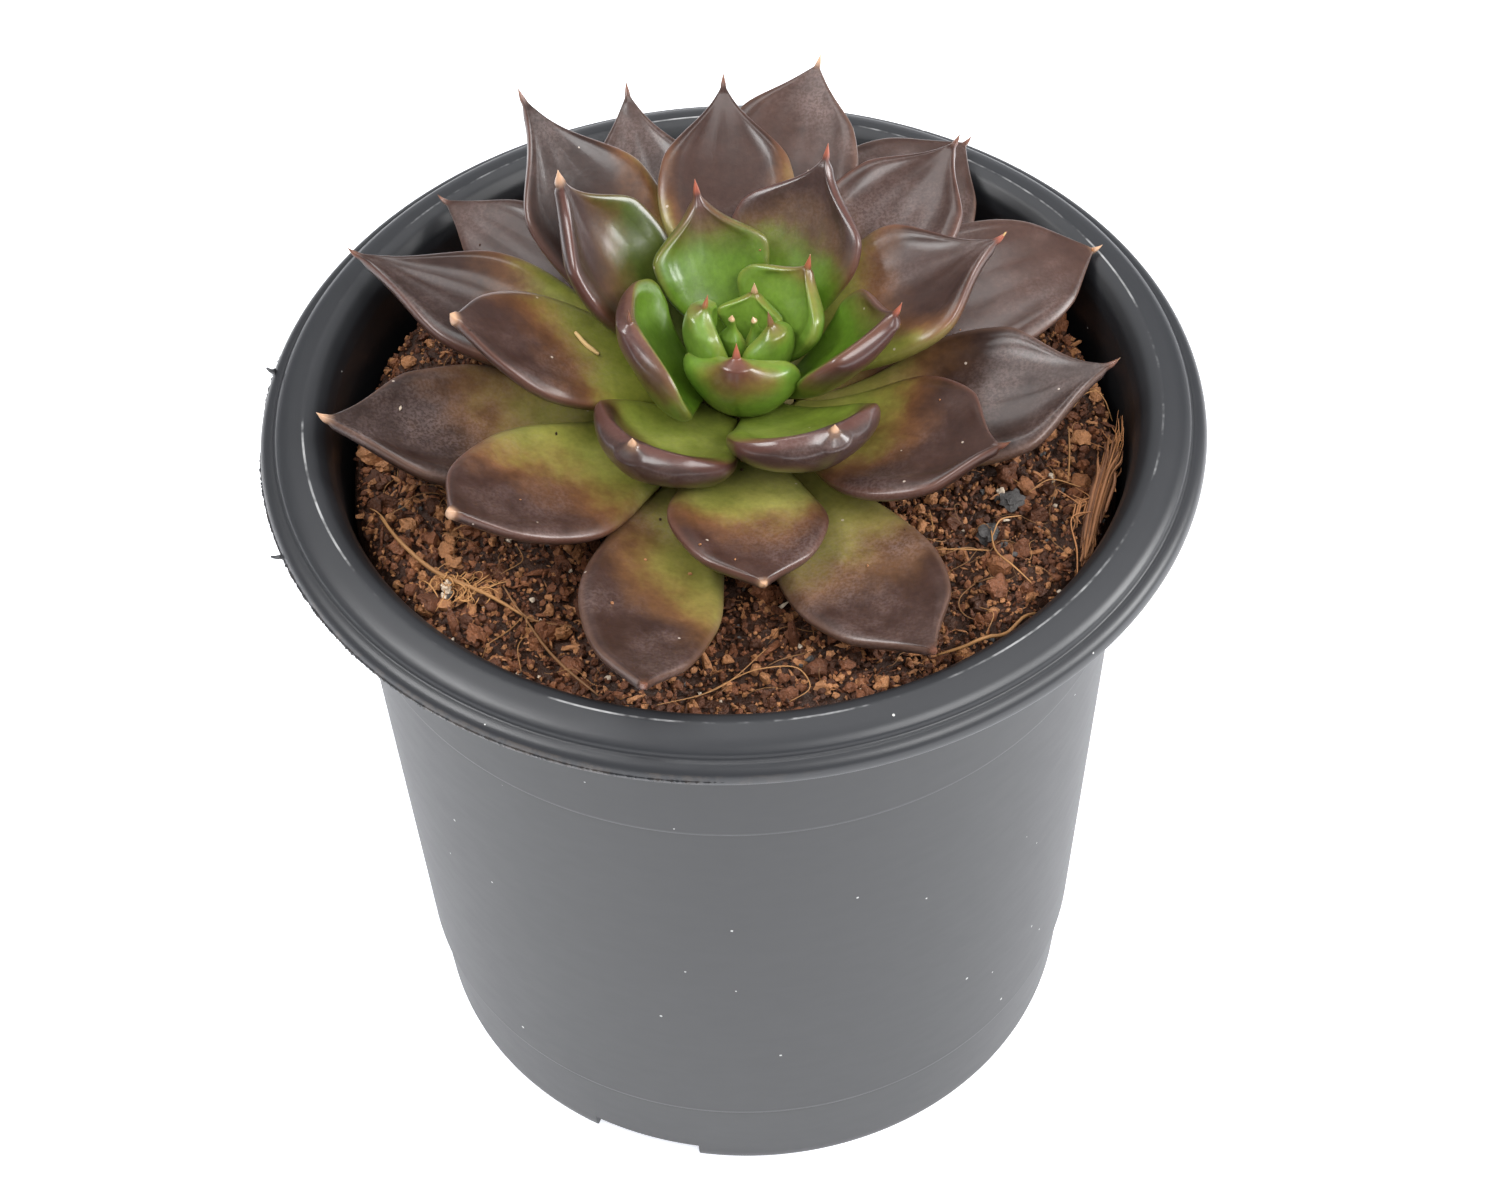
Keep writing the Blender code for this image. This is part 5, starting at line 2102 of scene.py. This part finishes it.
@dataclass(frozen=True)
class SoftPanel:
    """A soft panel of light that faces the plant. Sheen says whether it glints in the glossy finishes."""

    name: str
    place: Place
    wide: float
    high: float
    power: float
    sheen: bool = True

    def build(self) -> None:
        """Makes the light."""
        data = bpy.data.lights.new(self.name, "AREA")
        data.shape = "RECTANGLE"
        data.size = self.wide
        data.size_y = self.high
        data.energy = self.power
        lamp = linked(self.name, data)
        lamp.visible_glossy = self.sheen
        lamp.location = self.place
        to_plant = Vector((0.0, 0.0, 80.0 * MM)) - Vector(self.place)
        lamp.rotation_euler = to_plant.to_track_quat("-Z", "Y").to_euler()


PANELS = (
    SoftPanel("left_softbox", (-0.45, -0.04, 0.72), 0.38, 0.26, 3.8),
    SoftPanel("right_softbox", (0.43, -0.34, 0.68), 0.40, 0.36, 3.8),
    SoftPanel("top_softbox", (-0.02, 0.32, 0.82), 0.52, 0.20, 1.6),
    SoftPanel("right_window", (0.68, 0.02, 0.43), 0.30, 0.30, 4.2),
    SoftPanel("front_fill", (0.0, -0.46, 0.76), 0.80, 0.50, 4.6, sheen=False),
)


@dataclass(frozen=True)
class Studio:
    """The white set, its lights and the camera at the photograph's angle."""

    frame_wide: int = 1500
    frame_high: int = 1195
    lens: float = 84.0
    sensor: float = 36.0
    clip_start: float = 0.01
    clip_end: float = 20.0
    distance: float = 8.167
    elevation: float = 44.563
    roll: float = -2.2
    aim_px: tuple[float, float] = (732.058, 393.641)
    world_colour: Colour = (0.93, 0.96, 1.0)
    world_strength: float = 0.24
    floor_wide: float = 3.0
    paper: tuple[Colour, Colour] = ((0.86, 0.86, 0.87), (0.89, 0.89, 0.9))
    glow_colour: Colour = (0.93, 0.96, 1.03)
    glow_strength: float = 0.72

    def through(self, place: tuple[float, float]) -> Vector:
        """The camera's own direction through a place in the photograph.

        Args:
            place: the place, in the photograph's pixels.

        Returns:
            The direction.
        """
        focal = self.lens / self.sensor * self.frame_wide
        x, y = place[0] - self.frame_wide / 2, self.frame_high / 2 - place[1]
        return Vector((x / focal, y / focal, -1.0))

    def sight(self, place: tuple[float, float]) -> tuple[Vector, Vector]:
        """The camera's place, and its direction in the world through a place in the photograph."""
        frame = bpy.context.scene.camera.matrix_world
        return frame.translation.copy(), (frame.to_3x3() @ self.through(place)).normalized()

    def camera(self) -> None:
        """Places the camera so that the crease's centre falls on its place in the photograph."""
        data = bpy.data.cameras.new("camera")
        data.lens = self.lens
        data.sensor_width = self.sensor
        data.clip_start = self.clip_start
        data.clip_end = self.clip_end
        camera = linked("camera", data)
        high, turn = math.radians(self.elevation), math.radians(self.roll)
        away = Vector((0.0, -math.cos(high), math.sin(high)))
        right, up = Vector((1.0, 0.0, 0.0)), Vector((0.0, math.sin(high), math.cos(high)))
        level = right * math.cos(turn) + up * math.sin(turn)
        upright = up * math.cos(turn) - right * math.sin(turn)
        aim = self.through(self.aim_px).normalized()
        tilt = Vector((0.0, 0.0, -1.0)).rotation_difference(aim).to_matrix()
        place = Vector((0.0, 0.0, CREASE_Z)) + away * self.distance * CREASE_R
        facing = (tilt @ Matrix((level, upright, away))).transposed().to_4x4()
        camera.matrix_world = Matrix.Translation(place) @ facing
        bpy.context.scene.camera = camera

    def world(self) -> None:
        """Makes even white surroundings."""
        world = bpy.data.worlds.new("white_tent")
        world.use_nodes = True
        inputs = {"Color": self.world_colour, "Strength": self.world_strength}
        Graph(world.node_tree).feed(world.node_tree.nodes["Background"], inputs)
        bpy.context.scene.world = world

    def floor(self) -> None:
        """Makes the plain pale floor."""
        bm = bmesh.new()
        bmesh.ops.create_grid(bm, x_segments=1, y_segments=1, size=self.floor_wide)
        floor = linked("floor", mesh_from_bmesh("floor", bm))
        material, graph, shader = new_material("white_paper")
        graph.feed(shader, {
            "Base Color": graph.mix(graph.noise(graph.place(), 9.0, 3.0), *self.paper),
            "Roughness": 0.7,
            "Specular IOR Level": 0.2,
            "Emission Color": self.glow_colour,
            "Emission Strength": self.glow_strength,
        })
        floor.data.materials.append(material)

    def build(self) -> None:
        """Makes the whole set."""
        self.camera()
        self.world()
        self.floor()
        for panel in PANELS:
            panel.build()
        bpy.context.scene.view_settings.view_transform = "Standard"


def leaf_cover(leaves: Sequence[bpy.types.Object]) -> BVHTree:
    """One tree of all the leaves' faces, for keeping crumbs and fibres under them.

    Args:
        leaves: the leaf pieces.

    Returns:
        The tree.
    """
    points, faces, first = [], [], 0
    for leaf in leaves:
        mesh = leaf.data
        co = np.zeros(len(mesh.vertices) * 3, np.float32)
        mesh.vertices.foreach_get("co", co)
        points.append(co.reshape(-1, 3))
        faces += [[v + first for v in polygon.vertices] for polygon in mesh.polygons]
        first += len(mesh.vertices)
    return BVHTree.FromPolygons(np.concatenate(points).tolist(), faces)


def stem_bark(node: bpy.types.Object) -> None:
    """Dresses the stem's own solid in dull green bark.

    Args:
        node: the stem.
    """
    material, graph, shader = new_material("stem_bark_dull")
    place = graph.place()
    graph.feed(shader, {
        "Base Color": graph.mix(graph.noise(place, 400.0, 4.0), srgb(92, 84, 40), srgb(120, 104, 60)),
        "Roughness": 0.7,
        "Normal": graph.bump(graph.noise(place, 900.0, 3.0), 0.4, 0.4 * MM),
    })
    node.data.materials.clear()
    node.data.materials.append(material)


def main() -> None:
    """Loads the frame and dresses it."""
    logging.basicConfig(level=logging.INFO, format="%(message)s")
    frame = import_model()
    studio = Studio()
    studio.build()
    plant = Plant()
    plant.build()
    cover = leaf_cover(plant.made)
    pot = GrowerPot()
    pot.build()
    mix = PottingMix()
    mix.build(pot, cover)
    Fibres().build(mix, cover)
    HuskChip().build(mix)
    LeafLitter().build(studio, cover)
    stem_bark(frame["nodes"]["stem"])


if __name__ == "__main__":
    main()
